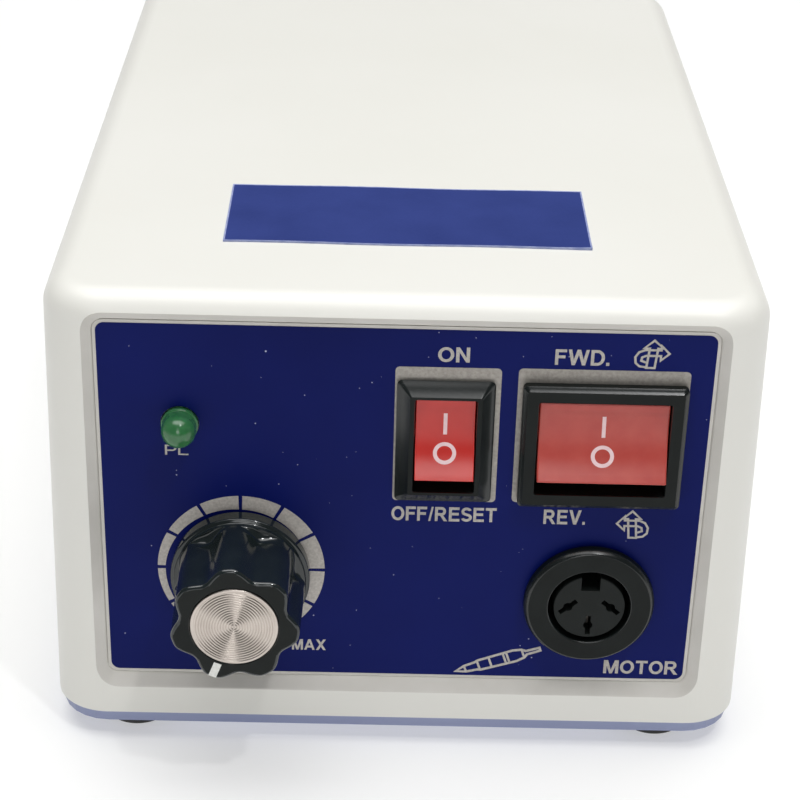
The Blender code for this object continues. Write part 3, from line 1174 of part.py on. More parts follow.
def make_leads(black, red, yellow):
    """The fuse to the power switch, the switch to the winding, and the board to the motor socket."""
    bend = 3 * LEAD_RADIUS
    terminal_y = PANEL_Y + SWITCH_DEPTH + TERMINAL_LENGTH + CLEARANCE
    switch_z = PANEL_Z + SWITCH_HEIGHT_ABOVE
    upper_z = switch_z + TERMINAL_PITCH / 2
    lower_z = switch_z - TERMINAL_PITCH / 2
    strap_top_z = FLOOR_Z + CORE_BEARER + CORE_HEIGHT + STRAP_THICKNESS + 2 * CLEARANCE
    over_z = (strap_top_z + COVER_TOP_Z - COVER_WALL) / 2
    core_line = core_y() + MIDDLE_Y
    winding_front = core_line - CORE_STACK / 2 - WINDING_REACH - CLEARANCE
    fuse_end = REAR_Y - FUSE_BODY_LENGTH - CLEARANCE
    board_line = board_y() + MIDDLE_Y
    make_lead("mains_lead", [(FUSE_X, fuse_end, REAR_ROW_Z), (FUSE_X, fuse_end - bend, REAR_ROW_Z),
                             (FUSE_X, fuse_end - bend, over_z), (FUSE_X, core_line, over_z),
                             (0, board_line, over_z - bend), (POWER_X, terminal_y + bend, upper_z),
                             (POWER_X, terminal_y, upper_z)], black)
    winding_z = lower_z - LEAD_RISE
    make_lead("primary_lead", [(POWER_X, terminal_y, lower_z), (POWER_X, terminal_y + bend, lower_z),
                               (POWER_X, board_line, lower_z), (POWER_X, winding_front - bend, winding_z),
                               (POWER_X, winding_front, winding_z)], red)
    insert_y = PANEL_Y - SOCKET_FLANGE_THICKNESS - CLEARANCE + SOCKET_INSERT_SINK
    contact_y = insert_y + CONTACT_SINK + CONTACT_LENGTH
    contact_z = PANEL_Z + SOCKET_Z - CONTACT_RADIUS_OUT
    board_top = FLOOR_Z + BOARD_LIFT + BOARD_THICKNESS + 2 * CLEARANCE
    board_front = board_line - BOARD_DEPTH / 2 + bend
    motor_route = [(SOCKET_X, contact_y + CLEARANCE, contact_z), (SOCKET_X, contact_y + bend, contact_z),
                   (SOCKET_X, board_front, board_top + bend), (SOCKET_X, board_front, board_top)]
    make_lead("motor_lead", motor_route, yellow)


def build():
    clear_scene()
    white = material("white ABS", (0.82, 0.82, 0.78), 0.38)
    grey_blue = material("grey blue ABS", (0.20, 0.24, 0.42), 0.5)
    rubber = material("black rubber", (0.03, 0.03, 0.03), 0.9)
    steel = material("zinc plated steel", (0.62, 0.62, 0.60), 0.35, 1.0)
    navy = material("navy printed aluminium", (0.012, 0.018, 0.10), 0.42)
    sticker = material("blue vinyl label", (0.05, 0.08, 0.28), 0.4)
    black = material("black nylon", (0.02, 0.022, 0.022), 0.35)
    dark = material("dark phenolic", (0.015, 0.017, 0.017), 0.45)
    red = material("red rocker plastic", (0.50, 0.08, 0.06), 0.35)
    brass = material("brass", (0.70, 0.52, 0.22), 0.3, 1.0)
    aluminium = material("spun aluminium", (0.72, 0.70, 0.68), 0.3, 1.0)
    green = material("green lamp plastic", (0.06, 0.30, 0.12), 0.2)
    glass = material("fuse glass", (0.80, 0.85, 0.85), 0.1, 0.0, 0.5)
    iron = material("core iron", (0.18, 0.17, 0.16), 0.55, 0.8)
    tape = material("yellow winding tape", (0.75, 0.55, 0.10), 0.4)
    board_green = material("green board", (0.03, 0.18, 0.08), 0.4)
    sleeve = material("capacitor sleeve", (0.03, 0.05, 0.20), 0.3)
    case = frame_at("case_frame", (0, MIDDLE_Y, 0))
    panel = frame_at("panel_frame", (0, PANEL_Y, PANEL_Z))
    rear = frame_at("rear_frame", (0, REAR_Y, 0))
    make_cover(white, case, panel, rear)
    make_base(grey_blue, case)
    make_feet_and_screws(rubber, steel, case)
    make_labels(navy, sticker, case, panel)
    make_switch("power", POWER_X, (POWER_BEZEL_WIDTH, POWER_BODY_WIDTH, POWER_ROCKER_WIDTH),
                (POWER_SLOPE_WIDTH, POWER_SLOPE_HEIGHT), 1, black, red, brass, panel)
    make_switch("direction", DIRECTION_X,
                (DIRECTION_BEZEL_WIDTH, DIRECTION_BODY_WIDTH, DIRECTION_ROCKER_WIDTH),
                (DIRECTION_SLOPE_WIDTH, DIRECTION_SLOPE_HEIGHT), 2, black, red, brass, panel)
    make_knob(black, aluminium, steel, panel)
    make_potentiometer(steel, dark, panel)
    make_lamp(green, panel)
    make_socket(black, dark, brass, steel, panel)
    make_gland(black, rear)
    make_fuse_holder(black, glass, steel, rear)
    make_mode_switch(dark, steel, rear)
    make_jack(black, steel, rear)
    make_transformer(iron, tape, steel, case)
    make_board(board_green, black, aluminium, sleeve, case)
    make_leads(black, red, tape)


build()
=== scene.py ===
import math

import bmesh
import bpy
from mathutils import Matrix, Vector


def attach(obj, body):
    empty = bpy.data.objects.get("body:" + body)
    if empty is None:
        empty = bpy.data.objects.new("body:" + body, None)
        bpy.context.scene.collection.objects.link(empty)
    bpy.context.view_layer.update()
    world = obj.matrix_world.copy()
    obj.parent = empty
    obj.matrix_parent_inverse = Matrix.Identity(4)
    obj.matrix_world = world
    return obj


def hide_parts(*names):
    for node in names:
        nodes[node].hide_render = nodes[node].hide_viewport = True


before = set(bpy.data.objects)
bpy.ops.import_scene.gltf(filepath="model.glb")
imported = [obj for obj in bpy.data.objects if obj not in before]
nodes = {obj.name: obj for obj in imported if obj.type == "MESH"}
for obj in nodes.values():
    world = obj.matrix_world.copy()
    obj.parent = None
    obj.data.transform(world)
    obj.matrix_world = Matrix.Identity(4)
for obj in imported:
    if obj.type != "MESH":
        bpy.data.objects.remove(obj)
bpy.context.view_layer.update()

# Shapes are drawn in millimetres and turned to metres as they are made
MM = 0.001
TO_METRES = Matrix.Scale(MM, 4)

# How finely round forms are drawn, and the angle in degrees that shows as an edge
TURN_STEPS = 96
CORNER_STEPS = 16
EDGE_STEPS = 10
SHARP = 30.0

CLEARANCE = 0.3
OVERRUN = 1.0
UPRIGHT = Matrix.Rotation(math.radians(90), 4, "X")
BACKWARD = Matrix.Rotation(math.radians(180), 4, "Z") @ UPRIGHT
ACROSS = Matrix.Rotation(math.radians(90), 4, "Y")

# Case
COVER_TOP_WIDTH = 110.6
COVER_FOOT_WIDTH = 113.0
COVER_DEPTH = 165.0
COVER_HEIGHT = 75.0
COVER_CORNER_RADIUS = 9.0
COVER_EDGE_RADIUS = 4.5
COVER_WALL = 2.5
FRONT_WALL = 4.3
COVER_LOW = 5.5
COVER_TOP = COVER_LOW + COVER_HEIGHT
KNOB_REACH = 17.0
LABEL_SINK = 1.5
GLAND_REACH = 14.0
FRONT_Y = (KNOB_REACH - LABEL_SINK - GLAND_REACH - COVER_DEPTH) / 2
REAR_Y = FRONT_Y + COVER_DEPTH
MIDDLE_Y = (FRONT_Y + REAR_Y) / 2

# Front panel, measured from the lower middle of the printed field
PANEL_Y = FRONT_Y + LABEL_SINK
PANEL_Z = 13.2
PANEL_INNER = FRONT_WALL - LABEL_SINK
PRINT_WIDTH = 93.4
PRINT_HEIGHT = 62.4
PRINT_CORNER = 1.4
PRINT_THICKNESS = 0.03
LABEL_BORDER = 0.5
LABEL_THICKNESS = 0.5
RECESS_SLOPE = 2.0
REAR_ROW_Z = 24.0

PANEL = Matrix.Translation((0, PANEL_Y, PANEL_Z))
REAR = Matrix.Translation((0, REAR_Y, REAR_ROW_Z))

# Middles of the fittings, from the lower middle of the printed field or from the middle of the back, and of
# the four screws, from the middle of the case
POWER_X = 6.2
DIRECTION_X = 30.4
SWITCH_Z = 43.6
LAMP_X = -34.4
LAMP_Z = 45.6
KNOB_X = -25.3
KNOB_Z = 19.7
SOCKET_X = 30.3
SOCKET_Z = 15.0
GLAND_X = -37.29
FUSE_X = -13.56
MODE_X = 13.56
JACK_X = 36.16
BOSS_X = 43.5
BOSS_Y = 72.9
CORNERS = [(side, end) for end in (-1, 1) for side in (-1, 1)]

# What passes through the panel and the back
POWER_NECK = 12.8
DIRECTION_NECK = 22.4
SWITCH_NECK_HEIGHT = 18.6
LAMP_RADIUS = 2.65
SOCKET_BARREL_RADIUS = 8.6
BUSHING_RADIUS = 3.5
GLAND_HOLE = 6.5
FUSE_HOLE = 6.3
MODE_HOLE = 3.3
JACK_HOLE = 5.0

# How deep the surfaces' relief is
RELIEF_DEPTH = 0.05

# Patterns. Dust lies about 2 mm apart, in patches. The cap's rings are cut 0.15 mm apart and the core's
# sheets are 0.5 mm thick: both are too fine to show, and are drawn coarser.
DUST_SPACING = 2.1
DUST_SIZE = 0.07
DUST_LEAST = 0.012
DUST_PATCH = 9.0
RING_PITCH = 0.42
SHEET_PITCH = 0.7


def linear(code):
    """sRGB hex to the linear colour that a shader takes."""
    values = [int(code[place:place + 2], 16) / 255 for place in (1, 3, 5)]
    shares = [value / 12.92 if value <= 0.04045 else ((value + 0.055) / 1.055) ** 2.4 for value in values]
    return (*shares, 1.0)


def node(tree, kind, settings=None, links=None, stops=()):
    """A shader node with its settings, its inputs linked or set, and a ramp's (position, hex) stops."""
    made = tree.nodes.new(kind)
    for name, value in (settings or {}).items():
        setattr(made, name, value)
    for name, value in (links or {}).items():
        if isinstance(value, bpy.types.NodeSocket):
            tree.links.new(value, made.inputs[name])
        else:
            made.inputs[name].default_value = value
    for element, (position, code) in zip(made.color_ramp.elements if stops else (), stops):
        element.position = position
        element.color = linear(code)
    return made


def finish_material(name, colours, roughness, grain, bump, settings=None, patch=20.0, spread=0.0):
    """A moulded, painted or plated surface.

    colours are two near tones that drift over patch millimetres, grain is the size in millimetres of the
    surface's texture, bump its strength, and spread how far the roughness wanders.
    """
    made = bpy.data.materials.new(name)
    made.use_nodes = True
    tree = made.node_tree
    shader = tree.nodes["Principled BSDF"]
    place = node(tree, "ShaderNodeTexCoord").outputs["Object"]
    drift = node(tree, "ShaderNodeTexNoise", links={
        "Vector": place, "Scale": 1 / (patch * MM), "Detail": 3.0, "Roughness": 0.55})
    tone = node(tree, "ShaderNodeValToRGB", links={"Fac": drift.outputs["Fac"]},
                stops=[(0.3, colours[0]), (0.7, colours[1])])
    tree.links.new(tone.outputs["Color"], shader.inputs["Base Color"])
    fine = node(tree, "ShaderNodeTexNoise", links={
        "Vector": place, "Scale": 1 / (grain * MM), "Detail": 2.0, "Roughness": 0.6})
    if spread:
        rough = node(tree, "ShaderNodeMapRange", links={
            "Value": fine.outputs["Fac"], "To Min": roughness - spread, "To Max": roughness + spread})
        tree.links.new(rough.outputs["Result"], shader.inputs["Roughness"])
    else:
        shader.inputs["Roughness"].default_value = roughness
    relief = node(tree, "ShaderNodeBump", links={"Height": fine.outputs["Fac"], "Strength": bump,
                                                "Distance": RELIEF_DEPTH * MM})
    tree.links.new(relief.outputs["Normal"], shader.inputs["Normal"])
    for key, value in (settings or {}).items():
        shader.inputs[key].default_value = value
    return made


def piece(name, shape, material, body, stands_for=(), matrix=None, sharp=SHARP, weighted=True):
    """A finished piece: closed, shaded smooth between sharp edges, riding on its body."""
    bmesh.ops.recalc_face_normals(shape, faces=shape.faces)
    if matrix is not None:
        shape.transform(matrix)
    shape.transform(TO_METRES)
    mesh = bpy.data.meshes.new(name)
    shape.to_mesh(mesh)
    shape.free()
    mesh.shade_smooth()
    mesh.set_sharp_from_angle(angle=math.radians(sharp))
    mesh.materials.append(material)
    made = bpy.data.objects.new(name, mesh)
    bpy.context.scene.collection.objects.link(made)
    if weighted:
        weigh(made)
    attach(made, body)
    if stands_for:
        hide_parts(*stands_for)
    return made


def weigh(made):
    """Broad faces keep their flat shading beside small bevels."""
    normals = made.modifiers.new("face weight", "WEIGHTED_NORMAL")
    normals.keep_sharp = True
    normals.weight = 80


def soften(made, width, segments=3, angle=SHARP):
    """Rounds the edges that turn by more than an angle."""
    edge = made.modifiers.new("soft edge", "BEVEL")
    edge.width = width * MM
    edge.segments = segments
    edge.limit_method = "ANGLE"
    edge.angle_limit = math.radians(angle)
    edge.harden_normals = False
    made.modifiers.move(len(made.modifiers) - 1, 0)


def carve(made, *shapes):
    """Cuts shapes out of a piece and keeps the result as its own mesh."""
    for shape in shapes:
        bmesh.ops.recalc_face_normals(shape, faces=shape.faces)
        shape.transform(TO_METRES)
        mesh = bpy.data.meshes.new("cut")
        shape.to_mesh(mesh)
        shape.free()
        cutter = bpy.data.objects.new("cut", mesh)
        bpy.context.scene.collection.objects.link(cutter)
        change = made.modifiers.new("cut", "BOOLEAN")
        change.operation = "DIFFERENCE"
        change.solver = "EXACT"
        change.object = cutter
        made.modifiers.move(len(made.modifiers) - 1, 0)
        sight = bpy.context.evaluated_depsgraph_get()
        others = [modifier for modifier in made.modifiers if modifier != change]
        for modifier in others:
            modifier.show_viewport = False
        sight.update()
        cut_mesh = bpy.data.meshes.new_from_object(made.evaluated_get(sight))
        made.modifiers.remove(change)
        for modifier in others:
            modifier.show_viewport = True
        made.data = cut_mesh
        bpy.data.objects.remove(cutter)
    made.data.shade_smooth()
    made.data.set_sharp_from_angle(angle=math.radians(SHARP))
    return made


def rounded_rectangle(width, height, radius, steps=CORNER_STEPS):
    """Points of a rectangle with round corners, counter-clockwise, about its centre."""
    points = []
    for turn, (sign_u, sign_v) in enumerate(((1, 1), (-1, 1), (-1, -1), (1, -1))):
        centre_u = sign_u * (width / 2 - radius)
        centre_v = sign_v * (height / 2 - radius)
        for step in range(steps + 1):
            angle = math.pi / 2 * (turn + step / steps)
            points.append((centre_u + radius * math.cos(angle), centre_v + radius * math.sin(angle)))
    return points


def circle(radius, steps=TURN_STEPS):
    angles = [2 * math.pi * step / steps for step in range(steps)]
    return [(radius * math.cos(angle), radius * math.sin(angle)) for angle in angles]


def stack(rings):
    """A closed shape through rings of (points, height) along local Z."""
    shape = bmesh.new()
    loops = [[shape.verts.new((u, v, height)) for u, v in points] for points, height in rings]
    for below, above in zip(loops, loops[1:]):
        count = len(below)
        for index in range(count):
            after = (index + 1) % count
            shape.faces.new((below[index], below[after], above[after], above[index]))
    shape.faces.new(list(reversed(loops[0])))
    shape.faces.new(loops[-1])
    return shape


def eased(profile, radius, steps=4):
    """A profile of (radius, height) points with every corner but its ends rounded."""
    points = [Vector(point) for point in profile]
    path = [points[0]]
    for before, corner, after in zip(points, points[1:], points[2:]):
        reach = min(radius, (corner - before).length * 0.45, (after - corner).length * 0.45)
        start = corner + (before - corner).normalized() * reach
        end = corner + (after - corner).normalized() * reach
        for step in range(steps + 1):
            share = step / steps
            path.append(start.lerp(corner, share).lerp(corner.lerp(end, share), share))
    path.append(points[-1])
    return [(point.x, point.y) for point in path]


def turned(profile, steps=TURN_STEPS):
    """A closed turned shape about local Z; it ends on the axis, or closes on itself round a bore."""
    shape = bmesh.new()
    loops = []
    for radius, height in profile:
        if radius == 0.0:
            loops.append([shape.verts.new((0, 0, height))])
        else:
            loops.append([shape.verts.new((u, v, height)) for u, v in circle(radius, steps)])
    pairs = list(zip(loops, loops[1:]))
    if len(loops[0]) > 1 and len(loops[-1]) > 1:
        pairs.append((loops[-1], loops[0]))
    for below, above in pairs:
        if len(below) == 1 and len(above) == 1:
            continue
        for index in range(steps):
            after = (index + 1) % steps
            if len(below) == 1:
                shape.faces.new((below[0], above[after], above[index]))
            elif len(above) == 1:
                shape.faces.new((below[index], below[after], above[0]))
            else:
                shape.faces.new((below[index], below[after], above[after], above[index]))
    return shape


def block(low, high):
    """A box between two corners."""
    shape = bmesh.new()
    bmesh.ops.create_cube(shape, size=1.0)
    low = Vector(low)
    high = Vector(high)
    size = high - low
    shape.transform(Matrix.Translation((low + high) / 2) @ Matrix.Diagonal((*size, 1.0)))
    return shape


def prism(points, width):
    """A profile of (y, z) points drawn out along X, centred."""
    shape = bmesh.new()
    sides = [[shape.verts.new((side * width / 2, y, z)) for y, z in points] for side in (-1, 1)]
    shape.faces.new(sides[0])
    shape.faces.new(list(reversed(sides[1])))
    for index in range(len(points)):
        after = (index + 1) % len(points)
        shape.faces.new((sides[0][index], sides[1][index], sides[1][after], sides[0][after]))
    return shape


def on_panel(x, z):
    """Shapes drawn along local Z come out of the panel at this place."""
    return PANEL @ Matrix.Translation((x, 0, z)) @ UPRIGHT


def on_rear(x):
    """Shapes drawn along local Z come out of the back at this place."""
    return REAR @ Matrix.Translation((x, 0, 0)) @ BACKWARD


# Plastics, metals and printed films

# ABS, injection moulded against lightly eroded steel: warm white, satin, a fine even grain
white_abs = finish_material(
    "white_moulded_abs", ("#E8E7E0", "#EBEAE4"), 0.36, 0.35, 0.10,
    {"IOR": 1.54, "Subsurface Weight": 0.04, "Subsurface Radius": (0.6 * MM,) * 3}, patch=60.0,
    spread=0.04)
# The same ABS, greyer and duller, on the slope round the label's recessed rim: painted shade, the recess
# walls darkened as if in shadow
recess_shade_abs = finish_material(
    "abs_with_painted_recess_shade", ("#CFCCC5", "#D9D6D0"), 0.50, 0.35, 0.12, {"IOR": 1.54}, patch=9.0, spread=0.05)
# ABS of the tray, pigmented grey blue
blue_grey_abs = finish_material(
    "blue_grey_moulded_abs", ("#8E97BC", "#979FC2"), 0.42, 0.35, 0.10, {"IOR": 1.54}, patch=40.0,
    spread=0.05)
# Natural rubber compound with carbon black: dull, dusty
foot_rubber = finish_material(
    "moulded_black_rubber", ("#3A3A39", "#4A4A48"), 0.85, 0.5, 0.25, {"IOR": 1.52}, patch=3.0,
    spread=0.05)
# Nylon 66 of the switch frames and sockets: near black with a green cast, semi-gloss
black_nylon = finish_material(
    "black_moulded_nylon", ("#101413", "#161B1A"), 0.40, 0.30, 0.18,
    {"IOR": 1.53, "Specular IOR Level": 0.15}, patch=5.0, spread=0.07)
# The same nylon on the slopes of the frames, where the mould was polished: it shines more than the flats
polished_nylon = finish_material(
    "polished_black_nylon", ("#151A1A", "#1D2222"), 0.24, 0.5, 0.08, {"IOR": 1.53}, patch=5.0,
    spread=0.05)
# Phenolic of the knob: hard, glossy, near black with a cold tint
knob_phenolic = finish_material(
    "glossy_black_phenolic", ("#181F20", "#1F2627"), 0.11, 0.8, 0.06, {"IOR": 1.60}, patch=4.0,
    spread=0.05)
# Darker phenolic of inserts and inner blocks
dull_phenolic = finish_material(
    "dull_black_phenolic", ("#151918", "#1B1F1E"), 0.50, 0.4, 0.2,
    {"IOR": 1.58, "Specular IOR Level": 0.14}, patch=5.0, spread=0.05)
# Zinc plated steel of nuts, screws and the strap: bright grey with soft mottling
zinc_steel = finish_material(
    "zinc_plated_steel", ("#A9A9A6", "#BDBDB9"), 0.32, 0.6, 0.10, {"Metallic": 1.0}, patch=2.0,
    spread=0.10)
# Tinned brass contacts: pale yellow metal, drawn smooth
tinned_brass = finish_material(
    "tinned_brass", ("#C4AA66", "#D1BA7C"), 0.28, 0.5, 0.08, {"Metallic": 1.0}, patch=3.0, spread=0.06)
# Tin plating of the socket's contacts, dulled by plugging
dull_tin = finish_material(
    "dull_tin_plating", ("#5F5C58", "#716D68"), 0.45, 0.4, 0.15, {"Metallic": 1.0}, patch=1.5)
# Silver foil of the front label: aluminium under clear film, fine random grain
silver_foil = finish_material(
    "silver_label_foil", ("#948F89", "#ADA8A1"), 0.46, 0.16, 0.35, {"Metallic": 0.25, "IOR": 1.5},
    patch=0.5, spread=0.12)
# Screen-printed silver ink of the words and signs: a little rougher and paler than the foil
silver_ink = finish_material(
    "silver_screen_ink", ("#ABA6A0", "#C6C1BB"), 0.55, 0.14, 0.45, {"Metallic": 0.1, "IOR": 1.5},
    patch=0.35, spread=0.12)
# Polyester film of the label where it is left bare round the print: pale, satin
label_film = finish_material(
    "pale_label_film", ("#C9C6C0", "#D4D1CB"), 0.45, 0.4, 0.1, {"IOR": 1.5}, patch=4.0, spread=0.05)
# Printed vinyl of the sticker: even mid blue under a satin film
blue_vinyl = finish_material(
    "blue_printed_vinyl", ("#293878", "#303F82"), 0.40, 0.8, 0.08,
    {"IOR": 1.5, "Specular IOR Level": 0.3}, patch=12.0, spread=0.06)
# Cut edge of that vinyl, where its clear film shows pale over the blue
film_edge = finish_material(
    "cut_vinyl_edge", ("#7F8BBE", "#A9B1D4"), 0.35, 0.5, 0.1, {"IOR": 1.5}, patch=1.5)
# Tinted polycarbonate of the narrow rocker, clear red over its lamp
red_rocker = finish_material(
    "red_tinted_polycarbonate", ("#C4231B", "#CE2D25"), 0.20, 1.0, 0.02,
    {"IOR": 1.58, "Specular IOR Level": 0.5, "Subsurface Weight": 0.25,
     "Subsurface Radius": (1.2 * MM, 0.3 * MM, 0.2 * MM)},
    patch=6.0, spread=0.02)
# The wide rocker's red has weathered to a duller, pinker tone
faded_red_rocker = finish_material(
    "faded_red_polycarbonate", ("#B63D34", "#C04A40"), 0.24, 1.0, 0.03,
    {"IOR": 1.58, "Specular IOR Level": 0.5, "Subsurface Weight": 0.2,
     "Subsurface Radius": (1.0 * MM, 0.3 * MM, 0.2 * MM)},
    patch=4.0, spread=0.03)
# Hot-stamped white foil on the rockers, tinted by the red under it
stamped_white = finish_material(
    "stamped_white_foil", ("#EBC9CD", "#F4D8DA"), 0.5, 0.3, 0.1, {"IOR": 1.5}, patch=0.8)
# Paint in the knob's pointer groove
pointer_paint = finish_material(
    "white_pointer_enamel", ("#DCDDD8", "#EDEEEA"), 0.45, 0.3, 0.2, {"IOR": 1.5}, patch=0.6)
# Tinted diffused epoxy of the lamp: bottle green, lets light through, bright at thin rims
green_epoxy = finish_material(
    "green_diffused_epoxy", ("#4C9F62", "#60B274"), 0.16, 0.6, 0.03,
    {"IOR": 1.55, "Transmission Weight": 0.6, "Subsurface Weight": 0.3,
     "Subsurface Radius": (0.4 * MM, 1.2 * MM, 0.5 * MM)},
    patch=2.0)
# Clear soda glass of the fuse
fuse_glass = finish_material(
    "clear_fuse_glass", ("#DDE8E4", "#E6EEEA"), 0.05, 1.0, 0.01,
    {"IOR": 1.52, "Transmission Weight": 0.9}, patch=8.0)
# Extruded aluminium of the heat sink, left in its mill finish
mill_aluminium = finish_material(
    "mill_finish_aluminium", ("#A6A8AA", "#B6B8BA"), 0.38, 0.3, 0.2, {"Metallic": 1.0}, patch=3.0,
    spread=0.08)
# Polyester tape round the winding: glossy yellow with soft ridges
winding_tape = finish_material(
    "yellow_polyester_tape", ("#C99A1C", "#D8AC2E"), 0.3, 1.2, 0.25, {"IOR": 1.6}, patch=5.0, spread=0.08)
# Solder mask over a glass laminate: translucent green, glossy, woven relief
solder_mask = finish_material(
    "green_solder_mask", ("#1F5C35", "#276B3F"), 0.3, 0.5, 0.2,
    {"IOR": 1.55, "Coat Weight": 0.4, "Coat Roughness": 0.15}, patch=6.0, spread=0.06)
# Shrunk sleeve of the capacitor
blue_sleeve = finish_material(
    "blue_shrunk_sleeve", ("#182A66", "#20347A"), 0.25, 1.5, 0.15, {"IOR": 1.53}, patch=8.0, spread=0.05)
# Soft PVC of the inner leads
black_pvc = finish_material(
    "black_soft_pvc", ("#1A1A1A", "#252525"), 0.45, 0.4, 0.1, {"IOR": 1.53}, patch=4.0)
red_pvc = finish_material(
    "red_soft_pvc", ("#A81E1A", "#B82A24"), 0.42, 0.4, 0.1, {"IOR": 1.53}, patch=4.0)
yellow_pvc = finish_material(
    "yellow_soft_pvc", ("#CFA51E", "#DDB430"), 0.42, 0.4, 0.1, {"IOR": 1.53}, patch=4.0)


def navy_screen_ink():
    """Navy ink over foil: an even deep blue that drifts a little, with sparse pale dust."""
    made = finish_material("navy_screen_ink", ("#020F55", "#061560"), 0.40, 0.25, 0.10,
                           {"IOR": 1.5, "Specular IOR Level": 0.10}, patch=35.0, spread=0.05)
    tree = made.node_tree
    shader = tree.nodes["Principled BSDF"]
    tone = shader.inputs["Base Color"].links[0].from_socket
    place = node(tree, "ShaderNodeTexCoord").outputs["Object"]
    spots = node(tree, "ShaderNodeTexVoronoi", {"feature": "F1"},
                 {"Vector": place, "Scale": 1 / (DUST_SPACING * MM), "Randomness": 1.0})
    patches = node(tree, "ShaderNodeTexNoise", links={
        "Vector": place, "Scale": 1 / (DUST_PATCH * MM), "Detail": 2.0})
    gate = node(tree, "ShaderNodeMapRange", links={
        "Value": patches.outputs["Fac"], "From Min": 0.41, "From Max": 0.68, "To Min": DUST_LEAST,
        "To Max": DUST_SIZE})
    dust = node(tree, "ShaderNodeMath", {"operation": "LESS_THAN"})
    tree.links.new(spots.outputs["Distance"], dust.inputs[0])
    tree.links.new(gate.outputs["Result"], dust.inputs[1])
    mixed = node(tree, "ShaderNodeMix", {"data_type": "RGBA"})
    tree.links.new(dust.outputs["Value"], mixed.inputs[0])
    tree.links.new(tone, mixed.inputs[6])
    mixed.inputs[7].default_value = linear("#AEB4CE")
    tree.links.new(mixed.outputs[2], shader.inputs["Base Color"])
    return made


def spun_aluminium():
    """A disc faced on a lathe: fine rings, and the long glints that they draw out."""
    made = finish_material("spun_aluminium", ("#BDB4AC", "#CAC1B9"), 0.30, 0.25, 0.03,
                           {"Metallic": 1.0, "Anisotropic": 0.6, "Anisotropic Rotation": 0.25}, patch=3.0)
    tree = made.node_tree
    shader = tree.nodes["Principled BSDF"]
    around = node(tree, "ShaderNodeTangent", {"direction_type": "RADIAL", "axis": "Y"})
    tree.links.new(around.outputs["Tangent"], shader.inputs["Tangent"])
    return made


def core_laminations():
    """Varnished iron sheets stacked front to back, their edges showing as fine lines."""
    made = finish_material("varnished_iron_sheets", ("#3B3835", "#4A4642"), 0.45, 0.4, 0.15,
                           {"Metallic": 0.6}, patch=6.0, spread=0.1)
    tree = made.node_tree
    shader = tree.nodes["Principled BSDF"]
    place = node(tree, "ShaderNodeTexCoord").outputs["Object"]
    sheets = node(tree, "ShaderNodeTexWave", {"wave_type": "BANDS", "bands_direction": "Y"},
                  {"Vector": place, "Scale": 0.1 * math.pi / (SHEET_PITCH * MM)})
    relief = node(tree, "ShaderNodeBump", links={"Height": sheets.outputs["Fac"], "Strength": 0.5,
                                                "Distance": RELIEF_DEPTH * MM})
    tree.links.new(relief.outputs["Normal"], shader.inputs["Normal"])
    return made


navy_ink = navy_screen_ink()
spun_metal = spun_aluminium()
iron_sheets = core_laminations()


def joined(*shapes):
    """Several closed shapes as one."""
    whole = bmesh.new()
    for shape in shapes:
        bmesh.ops.recalc_face_normals(shape, faces=shape.faces)
        mesh = bpy.data.meshes.new("part")
        shape.to_mesh(mesh)
        shape.free()
        whole.from_mesh(mesh)
        bpy.data.meshes.remove(mesh)
    return whole


def placed(shape, matrix):
    shape.transform(matrix)
    return shape


def strip(pairs, low, high, closed=False, bend=None):
    """A thin closed solid over pairs of left and right points; bend lays it on a curved face."""
    shape = bmesh.new()
    rows = []
    for left, right in pairs:
        corners = [(left[0], left[1], high), (right[0], right[1], high), (right[0], right[1], low),
                   (left[0], left[1], low)]
        if bend:
            corners = [bend(*corner) for corner in corners]
        rows.append([shape.verts.new(corner) for corner in corners])
    joins = list(zip(rows, rows[1:]))
    if closed:
        joins.append((rows[-1], rows[0]))
    for here, there in joins:
        for side in range(4):
            after = (side + 1) % 4
            shape.faces.new((here[side], here[after], there[after], there[side]))
    if not closed:
        shape.faces.new(rows[0])
        shape.faces.new(list(reversed(rows[-1])))
    return shape


def ribbon(points, width, closed=False):
    """Pairs of points either side of a line, mitred at its corners."""
    points = [Vector(point) for point in points]
    last = len(points) - 1
    pairs = []
    for index, here in enumerate(points):
        before = points[index - 1] if closed or index else None
        after = points[(index + 1) % len(points)] if closed or index < last else None
        arriving = (here - before).normalized() if before is not None else (after - here).normalized()
        leaving = (after - here).normalized() if after is not None else arriving
        side_in = Vector((-arriving.y, arriving.x))
        side_out = Vector((-leaving.y, leaving.x))
        side = (side_in + side_out).normalized()
        reach = min(width / 2 / max(side.dot(side_in), 0.3), width)
        pairs.append((here + side * reach, here - side * reach))
    return pairs


def band(radius, width, last_width, start, end, steps):
    """Pairs of points of an arc in degrees, whose width changes along it."""
    pairs = []
    for step in range(steps + 1):
        share = step / steps
        angle = math.radians(start + (end - start) * share)
        depth = width + (last_width - width) * share
        outward = Vector((math.cos(angle), math.sin(angle)))
        pairs.append((outward * radius, outward * (radius - depth)))
    return pairs


# White cover: a moulded shell, its front recessed for the label with a soft slope round it
RECESS_LIP = 0.35
RECESS_PLAY = 0.04
RECESS_FOOT = 0.02
RECESS_BULGE = 0.05
BOSS_RADIUS = 3.4
BOSS_BORE = 1.8
BOSS_LOW = 6.1
BOSS_HIGH = 14.6
RIB_REACH = 10.0
RIB_HALF = 1.0
RIB_LOW = 9.9


def boss_place(side, end):
    """One of the four corners where a screw holds the case together."""
    return Matrix.Translation((side * BOSS_X, MIDDLE_Y + end * BOSS_Y, 0))


